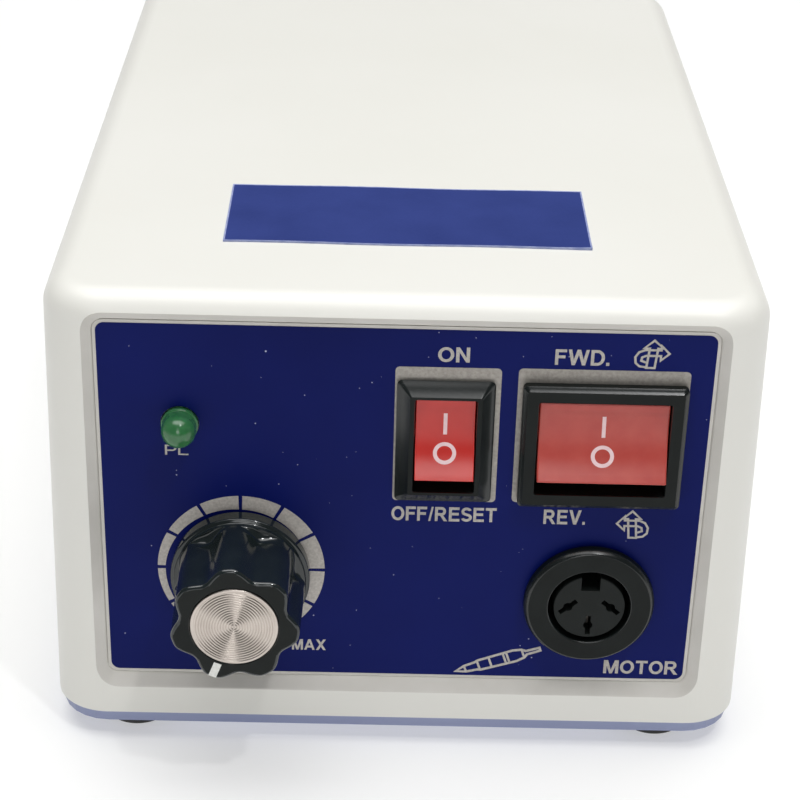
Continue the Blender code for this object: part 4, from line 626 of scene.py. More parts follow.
def cover_ring(height, inset, front_wall=0.0, wall=0.0):
    """The drafted outline of the cover at a height, or of its inside where walls are given."""
    share = height / (COVER_HEIGHT - COVER_EDGE_RADIUS)
    width = COVER_FOOT_WIDTH + (COVER_TOP_WIDTH - COVER_FOOT_WIDTH) * share
    radius = max(COVER_CORNER_RADIUS - inset - wall, CLEARANCE)
    depth = COVER_DEPTH - front_wall - wall - 2 * inset
    shift = (front_wall - wall) / 2
    outline = rounded_rectangle(width - 2 * (wall + inset), depth, radius)
    return [(x, y + shift + MIDDLE_Y) for x, y in outline]


def shell_side(top, radius, front_wall=0.0, wall=0.0):
    """Rings up the side and over the rounded upper edge."""
    flat = top - radius
    rings = [(cover_ring(0.0, 0.0, front_wall, wall), 0.0), (cover_ring(flat, 0.0, front_wall, wall), flat)]
    for step in range(1, EDGE_STEPS + 1):
        angle = math.pi / 2 * step / EDGE_STEPS
        inset = radius * (1 - math.cos(angle))
        rings.append((cover_ring(flat, inset, front_wall, wall), flat + radius * math.sin(angle)))
    return rings


def make_cover():
    """The closed shell: up the inside from its foot, and up the outside."""
    outer = shell_side(COVER_HEIGHT, COVER_EDGE_RADIUS)
    inner = shell_side(COVER_HEIGHT - COVER_WALL, COVER_EDGE_RADIUS - COVER_WALL, FRONT_WALL, COVER_WALL)
    rings = [(points, height + COVER_LOW) for points, height in list(reversed(inner)) + outer]
    return stack(rings)


def recess():
    """The hollow for the label: a flat floor, a soft slope, and a lip that rolls out to the face."""
    width = PRINT_WIDTH + 2 * LABEL_BORDER + 2 * RECESS_PLAY
    height = PRINT_HEIGHT + 2 * LABEL_BORDER + 2 * RECESS_PLAY
    floor = -LABEL_THICKNESS - CLEARANCE
    path = eased([(0.0, floor), (RECESS_FOOT, 0.0), (RECESS_SLOPE, LABEL_SINK),
                  (RECESS_SLOPE + 1.6 * RECESS_LIP, LABEL_SINK + RECESS_BULGE)], RECESS_LIP, 6)
    path.append((path[-1][0], LABEL_SINK + OVERRUN))
    rings = []
    for spread, level in path:
        corner = PRINT_CORNER + LABEL_BORDER + spread
        rings.append((rounded_rectangle(width + 2 * spread, height + 2 * spread, corner), level))
    return placed(stack(rings), on_panel(0.0, PRINT_HEIGHT / 2))


def panel_holes(front, back):
    """The openings through the label and the panel behind it."""
    def neck(width):
        return rounded_rectangle(width + 2 * CLEARANCE, SWITCH_NECK_HEIGHT + 2 * CLEARANCE, CLEARANCE, 3)

    outlines = [(neck(POWER_NECK), POWER_X, SWITCH_Z), (neck(DIRECTION_NECK), DIRECTION_X, SWITCH_Z),
                (circle(BUSHING_RADIUS + CLEARANCE), KNOB_X, KNOB_Z),
                (circle(LAMP_RADIUS + CLEARANCE), LAMP_X, LAMP_Z),
                (circle(SOCKET_BARREL_RADIUS + CLEARANCE), SOCKET_X, SOCKET_Z)]
    return joined(*[placed(stack([(outline, -back), (outline, front)]), on_panel(x, z))
                    for outline, x, z in outlines])


def rear_holes():
    """The openings through the back."""
    sizes = [(GLAND_HOLE, GLAND_X), (FUSE_HOLE, FUSE_X), (MODE_HOLE, MODE_X), (JACK_HOLE, JACK_X)]
    depth = COVER_WALL + OVERRUN
    return joined(*[placed(stack([(circle(radius), -depth), (circle(radius), OVERRUN)]), on_rear(x))
                    for radius, x in sizes])


cover = piece("cover_shell", make_cover(), white_abs, "control_box", ["top_cover"], sharp=40.0)
carve(cover, recess())
carve(cover, panel_holes(0.0, PANEL_INNER + OVERRUN))
carve(cover, rear_holes())

# Its slope round the label takes the greyer ABS: painted shade on the walls of the recess
LEAST_TILT = 0.2
cover.data.materials.append(recess_shade_abs)
panel_middle = Vector((0.0, 0.0, PANEL_Z + PRINT_HEIGHT / 2))
for face in cover.data.polygons:
    centre = face.center / MM
    inward = panel_middle - centre
    faces_in = abs(face.normal.x) > LEAST_TILT and face.normal.x * inward.x > 0
    faces_in = faces_in or (abs(face.normal.z) > LEAST_TILT and face.normal.z * inward.z > 0)
    on_slope = FRONT_Y < centre.y < PANEL_Y and abs(centre.x) < COVER_TOP_WIDTH / 2 - RECESS_SLOPE
    if faces_in and on_slope:
        face.material_index = 1

# Screw bosses in the cover's corners, each ribbed to the side wall
bosses = []
for side, end in CORNERS:
    tube = turned([(BOSS_BORE, BOSS_LOW), (BOSS_RADIUS, BOSS_LOW), (BOSS_RADIUS, BOSS_HIGH),
                   (BOSS_BORE, BOSS_HIGH)], 32)
    rib = block((BOSS_RADIUS, -RIB_HALF, RIB_LOW), (RIB_REACH, RIB_HALF, BOSS_HIGH))
    bosses.append(placed(tube, boss_place(side, end)))
    bosses.append(placed(rib, boss_place(side, end) @ Matrix.Diagonal((side, 1, 1, 1))))
piece("cover_bosses", joined(*bosses), white_abs, "control_box")

# Front label: a navy field on its film, and silver frames round the switches
PRINT_LIFT = 0.005
field = rounded_rectangle(PRINT_WIDTH, PRINT_HEIGHT, PRINT_CORNER)
navy = piece("navy_print", stack([(field, PRINT_LIFT), (field, PRINT_THICKNESS)]), navy_ink, "control_box",
             matrix=on_panel(0.0, PRINT_HEIGHT / 2), weighted=False)
carve(navy, panel_holes(OVERRUN, OVERRUN))
INK_LOW = PRINT_THICKNESS + PRINT_LIFT
INK_HIGH = 2 * PRINT_THICKNESS
FRAME_CORNER = 0.7

# Each frame's lower left corner, from the field's lower left, and its width and height
FRAMES = {
    "power_frame_print": (45.1, 32.84, 16.1, 23.3),
    "direction_frame_print": (63.75, 32.95, 26.1, 23.3),
}


def printed(name, shape):
    """A silver mark on the navy field, drawn from the field's lower middle."""
    made = piece(name, shape, silver_ink, "control_box", matrix=on_panel(0.0, 0.0), weighted=False)
    return made


def framed(low_x, low_z, width, height):
    """Outline of a silver frame from the corner of the printed field."""
    centre_x = low_x + width / 2 - PRINT_WIDTH / 2
    centre_z = low_z + height / 2
    outline = rounded_rectangle(width, height, FRAME_CORNER, 6)
    return [(x + centre_x, z + centre_z) for x, z in outline]


for name, sizes in FRAMES.items():
    outline = framed(*sizes)
    frame_print = printed(name, stack([(outline, INK_LOW), (outline, INK_HIGH)]))
    frame_print.data.materials[0] = silver_foil
    carve(frame_print, panel_holes(OVERRUN, OVERRUN))


# Widths and strokes of bold upright capitals of unit height. A stroke is an outline, or the arc of a round
# one: its centre, its outer radii, and the degrees where it starts and ends.
def capital(letter, stem, bar):
    def box(left, right, low, high):
        return [(left, low), (right, low), (right, high), (left, high)]

    def lean(low_left, low_right, high_right, high_left):
        return [(low_left, 0.0), (low_right, 0.0), (high_right, 1.0), (high_left, 1.0)]

    def level(right, low, left=stem / 2):
        return box(left, right, low, low + bar)

    upright = box(0, stem, 0, 1)
    top = 1 - bar
    bowl = [upright, level(0.50, top), level(0.50, 0.39), ((0.50, 0.695), (0.32, 0.305), -90, 90)]
    strokes = {
        "O": (0.98, [((0.49, 0.5), (0.49, 0.5), 0, 360)]),
        "D": (0.90, [upright, level(0.42, top), level(0.42, 0), ((0.42, 0.5), (0.48, 0.5), -90, 90)]),
        "P": (0.82, bowl),
        "R": (0.94, bowl + [[(0.34, 0.46), (0.68, 0.0), (0.94, 0.0), (0.57, 0.46)]]),
        "F": (0.74, [upright, level(0.74, top), level(0.66, 0.43)]),
        "E": (0.80, [upright, level(0.78, top), level(0.73, 0.43), level(0.80, 0)]),
        "L": (0.72, [upright, level(0.72, 0)]),
        "T": (0.82, [box(0.41 - stem / 2, 0.41 + stem / 2, 0, 1), level(0.82, top, 0)]),
        "N": (0.84, [upright, box(0.84 - stem, 0.84, 0, 1), lean(0.63, 0.84, 0.21, 0.0)]),
        "M": (1.04, [upright, box(1.04 - stem, 1.04, 0, 1), lean(0.43, 0.61, 0.28, 0.04),
                     lean(0.43, 0.61, 1.0, 0.76)]),
        "A": (1.00, [lean(0.0, 0.22, 0.61, 0.39), lean(0.78, 1.0, 0.61, 0.39), level(0.78, 0.22, 0.22)]),
        "V": (0.94, [lean(0.36, 0.58, 0.23, 0.0), lean(0.36, 0.58, 0.94, 0.71)]),
        "W": (1.36, [lean(0.24, 0.45, 0.21, 0.0), lean(0.24, 0.45, 0.79, 0.57),
                     lean(0.91, 1.12, 0.79, 0.57), lean(0.91, 1.12, 1.36, 1.15)]),
        "X": (0.94, [lean(0.0, 0.25, 0.93, 0.68), lean(0.69, 0.94, 0.26, 0.01)]),
        "S": (0.82, [((0.41, 0.71), (0.39, 0.29), 22, 270), ((0.41, 0.29), (0.41, 0.29), 90, -160)]),
        "/": (0.38, [lean(0.0, 0.15, 0.38, 0.23)]),
        ".": (0.20, [box(0, 0.20, 0, 0.20)]),
    }
    return strokes[letter]


STROKE_LIFT = 0.004
LETTER_GAP = 0.11
ARC_STEPS = 32
BOLD = (0.21, 0.18)
LIGHT = (0.15, 0.13)

# Each word's lower left and upper right corner, from the field's lower left, and its weight
WORDS = {
    "word_on": ("ON", (51.44, 57.04), (56.24, 59.54), BOLD),
    "word_off_reset": ("OFF/RESET", (45.03, 29.20), (61.52, 31.75), BOLD),
    "word_fwd": ("FWD.", (69.07, 57.0), (77.28, 59.6), BOLD),
    "word_rev": ("REV.", (68.94, 29.1), (75.48, 31.7), BOLD),
    "word_motor": ("MOTOR", (80.38, 0.95), (92.55, 3.54), BOLD),
    "word_max": ("MAX", (29.45, 4.37), (34.96, 6.41), BOLD),
    "word_pl": ("PL", (9.88, 40.07), (13.49, 41.82), LIGHT),
}


def lettering(name, words, low, high, weight):
    """Words fitted between two corners; the later strokes of a letter lie a hair above the earlier ones."""
    stem, bar = weight
    letters = [capital(letter, stem, bar) for letter in words]
    whole_width = sum(width for width, strokes in letters) + LETTER_GAP * (len(words) - 1)
    scale_x = (high[0] - low[0]) / whole_width
    scale_y = high[1] - low[1]
    at = 0.0
    solids = []
    for width, strokes in letters:
        for order, stroke in enumerate(strokes):
            top = INK_HIGH + STROKE_LIFT * order

            def fit(u, v, height=0.0, start=at):
                x = low[0] - PRINT_WIDTH / 2 + (start + u) * scale_x
                return (x, low[1] + v * scale_y, height)

            if isinstance(stroke, list):
                outline = [fit(u, v)[:2] for u, v in stroke]
                solids.append(stack([(outline, INK_LOW), (outline, top)]))
                continue
            centre, radii, start, end = stroke
            pairs = []
            for step in range(ARC_STEPS + 1):
                angle = math.radians(start + (end - start) * step / ARC_STEPS)
                across, up = math.cos(angle), math.sin(angle)
                pairs.append(((centre[0] + radii[0] * across, centre[1] + radii[1] * up),
                              (centre[0] + (radii[0] - stem) * across, centre[1] + (radii[1] - bar) * up)))
            whole = end - start == 360
            solids.append(strip(pairs[:-1] if whole else pairs, INK_LOW, top, whole, fit))
        at += width + LETTER_GAP
    printed(name, joined(*solids))


for name, setting in WORDS.items():
    lettering(name, *setting)

# Speed scale round the knob: blocks that widen clockwise, parted by narrow gaps
SCALE_OUTER = 13.26
SCALE_GAP = 0.62
SCALE_BLOCK_STEPS = 10
SCALE_ENDS = (235.0, 210.0, 180.0, 150.0, 120.0, 90.0, 60.0, 30.0, 0.0, -30.0, -54.0)
SCALE_WIDTHS = ((240.0, 0.75), (180.0, 1.24), (150.0, 1.65), (120.0, 2.1), (90.0, 2.42), (60.0, 2.55),
                (0.0, 2.67), (-54.0, 2.75))


def scale_width(angle):
    """The blocks' width at an angle in degrees."""
    for (start, wide), (end, wider) in zip(SCALE_WIDTHS, SCALE_WIDTHS[1:]):
        if end <= angle <= start:
            return wide + (wider - wide) * (start - angle) / (start - end)
    return SCALE_WIDTHS[-1][1]


half_gap = math.degrees(SCALE_GAP / 2 / SCALE_OUTER)
scale_marks = []
for start, end in zip(SCALE_ENDS, SCALE_ENDS[1:]):
    pairs = band(SCALE_OUTER, scale_width(start), scale_width(end), start - half_gap, end + half_gap,
                 SCALE_BLOCK_STEPS)
    scale_marks.append(placed(strip(pairs, INK_LOW, INK_HIGH), Matrix.Translation((KNOB_X, KNOB_Z, 0))))
printed("speed_scale", joined(*scale_marks))

# Signs: turning one way, turning the other way, and a handpiece in outline
SIGN_LINE = 0.34
SIGN_LIFT = 0.01
ARROW = [(0.54, 1.0), (0.82, 0.72), (0.66, 0.72), (0.60, 0.03), (0.36, 0.03), (0.42, 0.72), (0.26, 0.72)]
TURN = [(0.36, 0.05), (0.16, 0.08), (0.04, 0.20), (0.02, 0.40), (0.12, 0.58), (0.30, 0.66), (0.76, 0.66),
        (0.76, 0.82), (1.0, 0.54), (0.76, 0.30), (0.76, 0.46), (0.34, 0.46), (0.22, 0.40), (0.20, 0.28),
        (0.34, 0.22)]
HANDPIECE_LENGTH = 14.3
HANDPIECE_LINE = 0.42
HANDPIECE_BAND_LINE = 0.36
HANDPIECE_NOSE = (56.25 - PRINT_WIDTH / 2, 0.75, 0)
HANDPIECE_LEAN = math.radians(19.0)
HANDPIECE_SIDE = [(0.0, 0.0), (0.11, 0.040), (0.24, 0.052), (0.28, 0.066), (0.70, 0.076), (0.80, 0.056),
                  (0.84, 0.024), (1.0, 0.020)]
HANDPIECE_BANDS = ((0.11, 0.034), (0.27, 0.058), (0.41, 0.064), (0.58, 0.067), (0.62, 0.067), (0.80, 0.050))


def outlined(points, closed, lift=0.0, width=SIGN_LINE):
    return strip(ribbon(points, width, closed), INK_LOW + lift, INK_HIGH + lift, closed)


def turning_sign(name, low, high, mirrored):
    """A straight arrow with another that turns round it, between two corners."""
    width = high[0] - low[0]
    height = high[1] - low[1]

    def fit(points):
        shares = [(1 - u if mirrored else u, v) for u, v in points]
        return [(low[0] - PRINT_WIDTH / 2 + u * width, low[1] + v * height) for u, v in shares]

    printed(name, joined(outlined(fit(ARROW), True), outlined(fit(TURN), False, SIGN_LIFT)))


turning_sign("sign_forward", (81.01, 56.67), (86.24, 61.40), False)
turning_sign("sign_reverse", (80.52, 26.75), (85.56, 31.72), True)


def handpiece_sign():
    """A slanted handpiece: pointed nose, three banded lengths, and the stub that takes the cord."""
    lower = [(u, -v) for u, v in reversed(HANDPIECE_SIDE[1:])]
    body = [(u * HANDPIECE_LENGTH, v * HANDPIECE_LENGTH) for u, v in HANDPIECE_SIDE + lower]
    lines = [outlined(body, True, width=HANDPIECE_LINE)]
    for share, half in HANDPIECE_BANDS:
        across = [(share * HANDPIECE_LENGTH, side * half * HANDPIECE_LENGTH) for side in (-1, 1)]
        lines.append(outlined(across, False, SIGN_LIFT, HANDPIECE_BAND_LINE))
    place = Matrix.Translation(HANDPIECE_NOSE) @ Matrix.Rotation(HANDPIECE_LEAN, 4, "Z")
    printed("sign_handpiece", placed(joined(*lines), place))


handpiece_sign()

# Rocker switches: sloped frames, rockers with a hollowed face, white marks that follow the face. A slope is
# its width, its height and the power that hollows it.
BEZEL_HEIGHT = 21.0
BEZEL_THICKNESS = 2.0
BEZEL_CORNER = 0.8
BEZEL_EDGE = 0.18
BEZEL_STEPS = 8
SWITCH_DEPTH = 13.0
SWITCH_BACK_WALL = 2.0
FLATTEST = -0.97
STEEPEST = -0.3
SWITCH_FRONT = CLEARANCE + BEZEL_THICKNESS
OPENING_HEIGHT = 15.9
OPENING_CORNER = 0.4
FLARE = 0.2
FLARE_LOW = SWITCH_FRONT - 0.25
FLARE_HIGH = SWITCH_FRONT + 0.02
POWER_BEZEL = 15.0
POWER_SLOPE = (2.0, 1.6, 1.3)
POWER_ROCKER = 9.1
POWER_ROCKER_SIDE = 0.25
POWER_ROCKER_END = 0.7
DIRECTION_BEZEL = 25.2
DIRECTION_SLOPE = (0.7, 0.5, 1.2)
DIRECTION_ROCKER = 19.9
DIRECTION_ROCKER_SIDE = 0.55
DIRECTION_ROCKER_END = 1.3
ROCKER_TURN = math.radians(25.0)
ROCKER_REACH = 4.5
ROCKER_SINK = 1.1
ROCKER_TIP = 6.494
ROCKER_BLEND = 6.0
ROCKER_LIP = 1.7
ROCKER_CURL = 0.15
ROCKER_STEPS = 36
ROCKER_PLAY = 0.15
SKIRT_BACK = -0.9
SKIRT_TAPER = 1.2
KEEL = 1.6
TRUNNION_RADIUS = 1.0
TRUNNION_LENGTH = 0.7
TRUNNION_STEPS = 32
SAME_POINT = 1e-4
MARK_THICKNESS = 0.02
BAR_HALF = 0.29
BAR_LEVELS = (0.85, 1.4, 2.0, 2.6, 3.3, 4.35)
RING_LEVEL = -2.2
RING_INNER = 1.18
RING_OUTER = 1.78
RING_STEPS = 64
PIVOT_Y = PANEL_Y - SWITCH_FRONT + ROCKER_SINK + ROCKER_REACH


def polish_slopes(made):
    """Gives the slopes in front of the panel the shine of a polished mould."""
    made.data.materials.append(polished_nylon)
    for face in made.data.polygons:
        if FLATTEST < face.normal.y < STEEPEST and face.center.y / MM < PANEL_Y - CLEARANCE:
            face.material_index = 1


def pivot_at(x):
    return Matrix.Translation((x, PIVOT_Y, PANEL_Z + SWITCH_Z))


def rod(radius, half_length):
    """A round bar along X, centred."""
    outline = circle(radius, TRUNNION_STEPS)
    return placed(stack([(outline, -half_length), (outline, half_length)]), ACROSS)


def switch_frame(name, stands_for, x, bezel_width, neck_width, rocker_width, slope):
    """Frame and body in one moulding, with a hollowed slope from rim to opening."""
    def outline(width, height, radius):
        return rounded_rectangle(width, height, radius, 6)

    slope_width, slope_height, hollow = slope
    neck = outline(neck_width, SWITCH_NECK_HEIGHT, CLEARANCE)
    rim = outline(bezel_width, BEZEL_HEIGHT, BEZEL_CORNER)
    foot = outline(bezel_width - 2 * BEZEL_EDGE, BEZEL_HEIGHT - 2 * BEZEL_EDGE, BEZEL_CORNER)
    rise = SWITCH_FRONT - slope_height
    rings = [(neck, -SWITCH_DEPTH), (neck, CLEARANCE), (foot, CLEARANCE), (rim, CLEARANCE + BEZEL_EDGE),
             (rim, rise - BEZEL_EDGE)]
    for step in range(BEZEL_STEPS + 1):
        share = step / BEZEL_STEPS
        inset = BEZEL_EDGE + (slope_width - BEZEL_EDGE) * share
        corner = BEZEL_CORNER * (1 - share) + CLEARANCE * share
        level = rise + slope_height * share ** hollow
        rings.append((outline(bezel_width - 2 * inset, BEZEL_HEIGHT - 2 * inset, corner), level))
    made = piece(name, stack(rings), black_nylon, "control_box", stands_for, on_panel(x, SWITCH_Z),
                 sharp=24.0)
    width = rocker_width + 2 * ROCKER_PLAY
    narrow = rounded_rectangle(width, OPENING_HEIGHT, CLEARANCE, 4)
    flared = rounded_rectangle(width + FLARE, OPENING_HEIGHT + FLARE, OPENING_CORNER, 4)
    opening = stack([(narrow, SWITCH_BACK_WALL - SWITCH_DEPTH), (narrow, FLARE_LOW), (flared, FLARE_HIGH),
                     (flared, SWITCH_FRONT + OVERRUN)])
    bearing = rod(TRUNNION_RADIUS + CLEARANCE, rocker_width / 2 + TRUNNION_LENGTH + CLEARANCE)
    carve(made, placed(opening, on_panel(x, SWITCH_Z)))
    carve(made, placed(bearing, pivot_at(x)))
    polish_slopes(made)


def rocker_face(level):
    """How far in front of the pivot the face lies at a height above it, in the middle position."""
    away = abs(level)
    curl = max(away - (ROCKER_TIP - ROCKER_LIP), 0.0) ** 2 / (2 * ROCKER_LIP) * ROCKER_CURL
    if away < ROCKER_BLEND:
        away = (level ** 2 + ROCKER_BLEND ** 2) / (2 * ROCKER_BLEND)
    return ROCKER_REACH / math.cos(ROCKER_TURN / 2) + math.tan(ROCKER_TURN / 2) * away + curl


def rocker_at_rest(x):
    """The upper end pressed in."""
    return pivot_at(x) @ Matrix.Rotation(-ROCKER_TURN / 2, 4, "X")


def rocker_piece(name, stands_for, body, x, width, material, side, end):
    """A rocker with its pin: side rounds its edges left and right, end its upper and lower lips."""
    last = ROCKER_TIP - end
    levels = [last - 2 * last * step / ROCKER_STEPS for step in range(ROCKER_STEPS + 1)]
    face = [(-rocker_face(level), level) for level in levels]
    upper = eased([face[0], (-rocker_face(ROCKER_TIP), ROCKER_TIP), (SKIRT_BACK, ROCKER_TIP - SKIRT_TAPER)],
                  end, 6)
    lower = [(y, -z) for y, z in upper]
    keel = [(0.0, -KEEL), (KEEL, 0.0), (0.0, KEEL)]
    profile = []
    for point in list(reversed(upper)) + face[1:-1] + lower + keel:
        if not profile or (Vector(point) - Vector(profile[-1])).length > SAME_POINT:
            profile.append(point)
    made = piece(name, prism(profile, width), material, body, stands_for, rocker_at_rest(x), sharp=50.0)
    soften(made, side, 4, 50.0)
    pin = placed(rod(TRUNNION_RADIUS, width / 2 + TRUNNION_LENGTH), rocker_at_rest(x))
    piece(f"{name}_pin", pin, material, body)


def rocker_marks(name, body, x):
    """A bar on the upper half and a ring on the lower half, laid on the curved face."""
    def lay(u, v, height):
        level = v * math.cos(ROCKER_TURN / 2)
        return (u, -rocker_face(level) - height, level)

    bar = [((-BAR_HALF, level), (BAR_HALF, level)) for level in BAR_LEVELS]
    centre = Vector((0.0, RING_LEVEL))
    ring = []
    for across, up in circle(1.0, RING_STEPS):
        outward = Vector((across, up))
        ring.append((centre + outward * RING_INNER, centre + outward * RING_OUTER))
    marks = joined(strip(bar, 0.0, MARK_THICKNESS, bend=lay), strip(ring, 0.0, MARK_THICKNESS, True, lay))
    made = piece(name, marks, stamped_white, body, matrix=rocker_at_rest(x), weighted=False)


switch_frame("power_switch_frame", ["power_switch_housing"], POWER_X, POWER_BEZEL, POWER_NECK, POWER_ROCKER,
             POWER_SLOPE)
switch_frame("direction_switch_frame", ["direction_switch_housing"], DIRECTION_X, DIRECTION_BEZEL,
             DIRECTION_NECK, DIRECTION_ROCKER, DIRECTION_SLOPE)
rocker_piece("power_rocker_cap", ["power_rocker"], "power_rocker_body", POWER_X, POWER_ROCKER, red_rocker,
             POWER_ROCKER_SIDE, POWER_ROCKER_END)
rocker_piece("direction_rocker_cap", ["direction_rocker"], "direction_rocker_body", DIRECTION_X,
             DIRECTION_ROCKER, faded_red_rocker, DIRECTION_ROCKER_SIDE, DIRECTION_ROCKER_END)
rocker_marks("power_rocker_marks", "power_rocker_body", POWER_X)
rocker_marks("direction_rocker_marks", "direction_rocker_body", DIRECTION_X)

# Speed knob: round skirt, scooped grip of seven lobes, turned metal cap and painted pointer
LOBES = 7
KNOB_STEPS = LOBES * 26
KNOB_LIFT = 0.9
KNOB_HOLLOW = 8.0
BORE_RADIUS = 3.3
BORE_FLAT = 1.7
BORE_LOW = 4.9
BORE_HIGH = 13.4
SKIRT_RADIUS = 11.0
SKIRT_TOP = 3.5
SKIRT_SLOPE = 0.2
SKIRT_EASE = 0.35
GRIP_FOOT = 10.35
GRIP_FACE = 10.05
GRIP_DROP = 1.5
GRIP_LEVELS = (8.0, 11.0, 14.0)
GRIP_DRAFT = 0.01
LOBE_HALF = 0.07
SCOOP_START = 4.3
SCOOP_LENGTH = 1.5
SCOOP_STEPS = 9
FACE_EASE = 0.55
FACE_STEPS = 6
MARK_ANGLE = math.radians(-111.0)
CAP_RADIUS = 6.72
CAP_SEAT = 16.0
CAP_GAP = 0.1
SEAT_CHAMFER = 0.15
FLAT = -0.99
KNOB_AXIS = on_panel(KNOB_X, KNOB_Z)


def grip_ring(height, inset=0.0):
    """The grip's outline at a height: lobes all the way down, scoops between them from their start."""
    share = (height - SKIRT_TOP) / (KNOB_REACH - SKIRT_TOP)
    ridge = GRIP_FOOT + (GRIP_FACE - GRIP_FOOT) * share - inset
    scoop = min(max((height - SCOOP_START) / SCOOP_LENGTH, 0.0), 1.0)
    depth = GRIP_DROP * math.sqrt(1 - (1 - scoop) ** 2)
    points = []
    for step in range(KNOB_STEPS):
        angle = 2 * math.pi * step / KNOB_STEPS
        lobe = LOBES * (angle - MARK_ANGLE) / (2 * math.pi)
        away = abs(lobe - round(lobe))
        share = max(away - LOBE_HALF, 0.0) / (0.5 - LOBE_HALF)
        radius = ridge - depth * share * share * (3 - 2 * share)
        points.append((radius * math.cos(angle), radius * math.sin(angle)))
    return points


def make_knob():
    def ring(radius, height):
        return (circle(radius, KNOB_STEPS), height)

    bore = [(x, min(y, BORE_FLAT)) for x, y in circle(BORE_RADIUS, KNOB_STEPS)]
    rings = [(bore, BORE_HIGH), (bore, BORE_LOW), ring(KNOB_HOLLOW, BORE_LOW), ring(KNOB_HOLLOW, KNOB_LIFT)]
    skirt = eased([(KNOB_HOLLOW, KNOB_LIFT), (SKIRT_RADIUS, KNOB_LIFT),
                   (SKIRT_RADIUS, SKIRT_TOP - SKIRT_SLOPE), (GRIP_FOOT, SKIRT_TOP),
                   (GRIP_FOOT - GRIP_DRAFT, SCOOP_START)], SKIRT_EASE)
    rings += [ring(radius, height) for radius, height in skirt[1:-1]]
    edge = KNOB_REACH - FACE_EASE
    heights = [SCOOP_START + SCOOP_LENGTH * (step / SCOOP_STEPS) ** 2 for step in range(SCOOP_STEPS + 1)]
    heights += [*GRIP_LEVELS, edge]
    rings += [(grip_ring(height), height) for height in heights]
    for step in range(1, FACE_STEPS + 1):
        angle = math.pi / 2 * step / FACE_STEPS
        height = edge + FACE_EASE * math.sin(angle)
        rings.append((grip_ring(height, FACE_EASE * (1 - math.cos(angle))), height))
    rings += [ring(CAP_RADIUS + CAP_GAP + SEAT_CHAMFER, KNOB_REACH),
              ring(CAP_RADIUS + CAP_GAP, KNOB_REACH - SEAT_CHAMFER), ring(CAP_RADIUS + CAP_GAP, CAP_SEAT)]
    return stack(rings)


knob = piece("speed_knob_moulding", make_knob(), knob_phenolic, "speed_knob_body", ["speed_knob"],
             KNOB_AXIS, sharp=42.0)
knob.data.materials.append(dull_phenolic)
for face in knob.data.polygons:
    if face.normal.y < FLAT and face.center.y / MM < PANEL_Y - KNOB_REACH + CLEARANCE:
        face.material_index = 1

# The cap's rings stand a little apart, as shallow arcs side by side
CAP_BACK = 16.3
CAP_FACE = 17.1
CAP_EASE = 0.18
RIDGE_SLOPE = math.radians(55.0)
RIDGE_STEPS = 8
RIDGES = 15
ridge_radius = RING_PITCH / 2 / math.sin(RIDGE_SLOPE)
cap_profile = eased([(0.0, CAP_BACK), (CAP_RADIUS, CAP_BACK), (CAP_RADIUS, CAP_FACE),
                     ((RIDGES + 0.1) * RING_PITCH, CAP_FACE)], CAP_EASE)
for ridge in reversed(range(RIDGES)):
    for step in range(RIDGE_STEPS):
        angle = RIDGE_SLOPE * (1 - 2 * step / RIDGE_STEPS)
        fall = ridge_radius * (math.cos(angle) - math.cos(RIDGE_SLOPE))
        cap_profile.append(((ridge + 0.5) * RING_PITCH + ridge_radius * math.sin(angle), CAP_FACE - fall))
cap_profile.append((0.0, CAP_FACE))
piece("knob_cap_disc", turned(cap_profile, 128), spun_metal, "speed_knob_body", ["knob_cap"], KNOB_AXIS,
      sharp=50.0)

POINTER_HALF = 0.62
POINTER_THICKNESS = 0.03
POINTER_START = CAP_RADIUS + 0.5
POINTER_LEVELS = (8.0, 9.0)


def pointer():
    """A painted bar from the cap's edge over the rim of the lobe under it."""
    flat_end = GRIP_FACE - FACE_EASE

    def lay(u, v, height):
        if v <= flat_end:
            return (v, u, KNOB_REACH + height)
        angle = min((v - flat_end) / FACE_EASE, math.pi / 2)
        out = flat_end + (FACE_EASE + height) * math.sin(angle)
        return (out, u, KNOB_REACH - FACE_EASE + (FACE_EASE + height) * math.cos(angle))

    reaches = [POINTER_START, *POINTER_LEVELS]
    reaches += [flat_end + FACE_EASE * turn for turn in (0.0, 0.3, 0.6, 0.9, 1.2)]
    pairs = [((POINTER_HALF, reach), (-POINTER_HALF, reach)) for reach in reaches]
    return placed(strip(pairs, 0.0, POINTER_THICKNESS, bend=lay), Matrix.Rotation(MARK_ANGLE, 4, "Z"))


painted = piece("knob_pointer", pointer(), pointer_paint, "speed_knob_body", matrix=KNOB_AXIS,
                weighted=False)

# Lamp: a flanged lens whose dome stands out of the panel
LAMP_BACK = -6.8
LAMP_REACH = 5.2
LAMP_FLANGE_RADIUS = 2.85
LAMP_FLANGE_RIM = 0.9
LAMP_FLANGE_TOP = 0.95
LAMP_EASE = 0.12
DOME_LEVEL = LAMP_REACH - LAMP_RADIUS
DOME_STEPS = 12
lamp_profile = eased([(0.0, LAMP_BACK), (LAMP_RADIUS, LAMP_BACK), (LAMP_RADIUS, CLEARANCE),
                      (LAMP_FLANGE_RADIUS, CLEARANCE), (LAMP_FLANGE_RADIUS, LAMP_FLANGE_RIM),
                      (LAMP_RADIUS, LAMP_FLANGE_TOP), (LAMP_RADIUS, DOME_LEVEL)], LAMP_EASE, 3)
for step in range(1, DOME_STEPS):
    angle = math.pi / 2 * step / DOME_STEPS
    lamp_profile.append((LAMP_RADIUS * math.cos(angle), DOME_LEVEL + LAMP_RADIUS * math.sin(angle)))
lamp_profile.append((0.0, LAMP_REACH))
piece("lamp_lens", turned(lamp_profile, 64), green_epoxy, "control_box", ["power_lamp"],
      on_panel(LAMP_X, LAMP_Z), sharp=50.0)


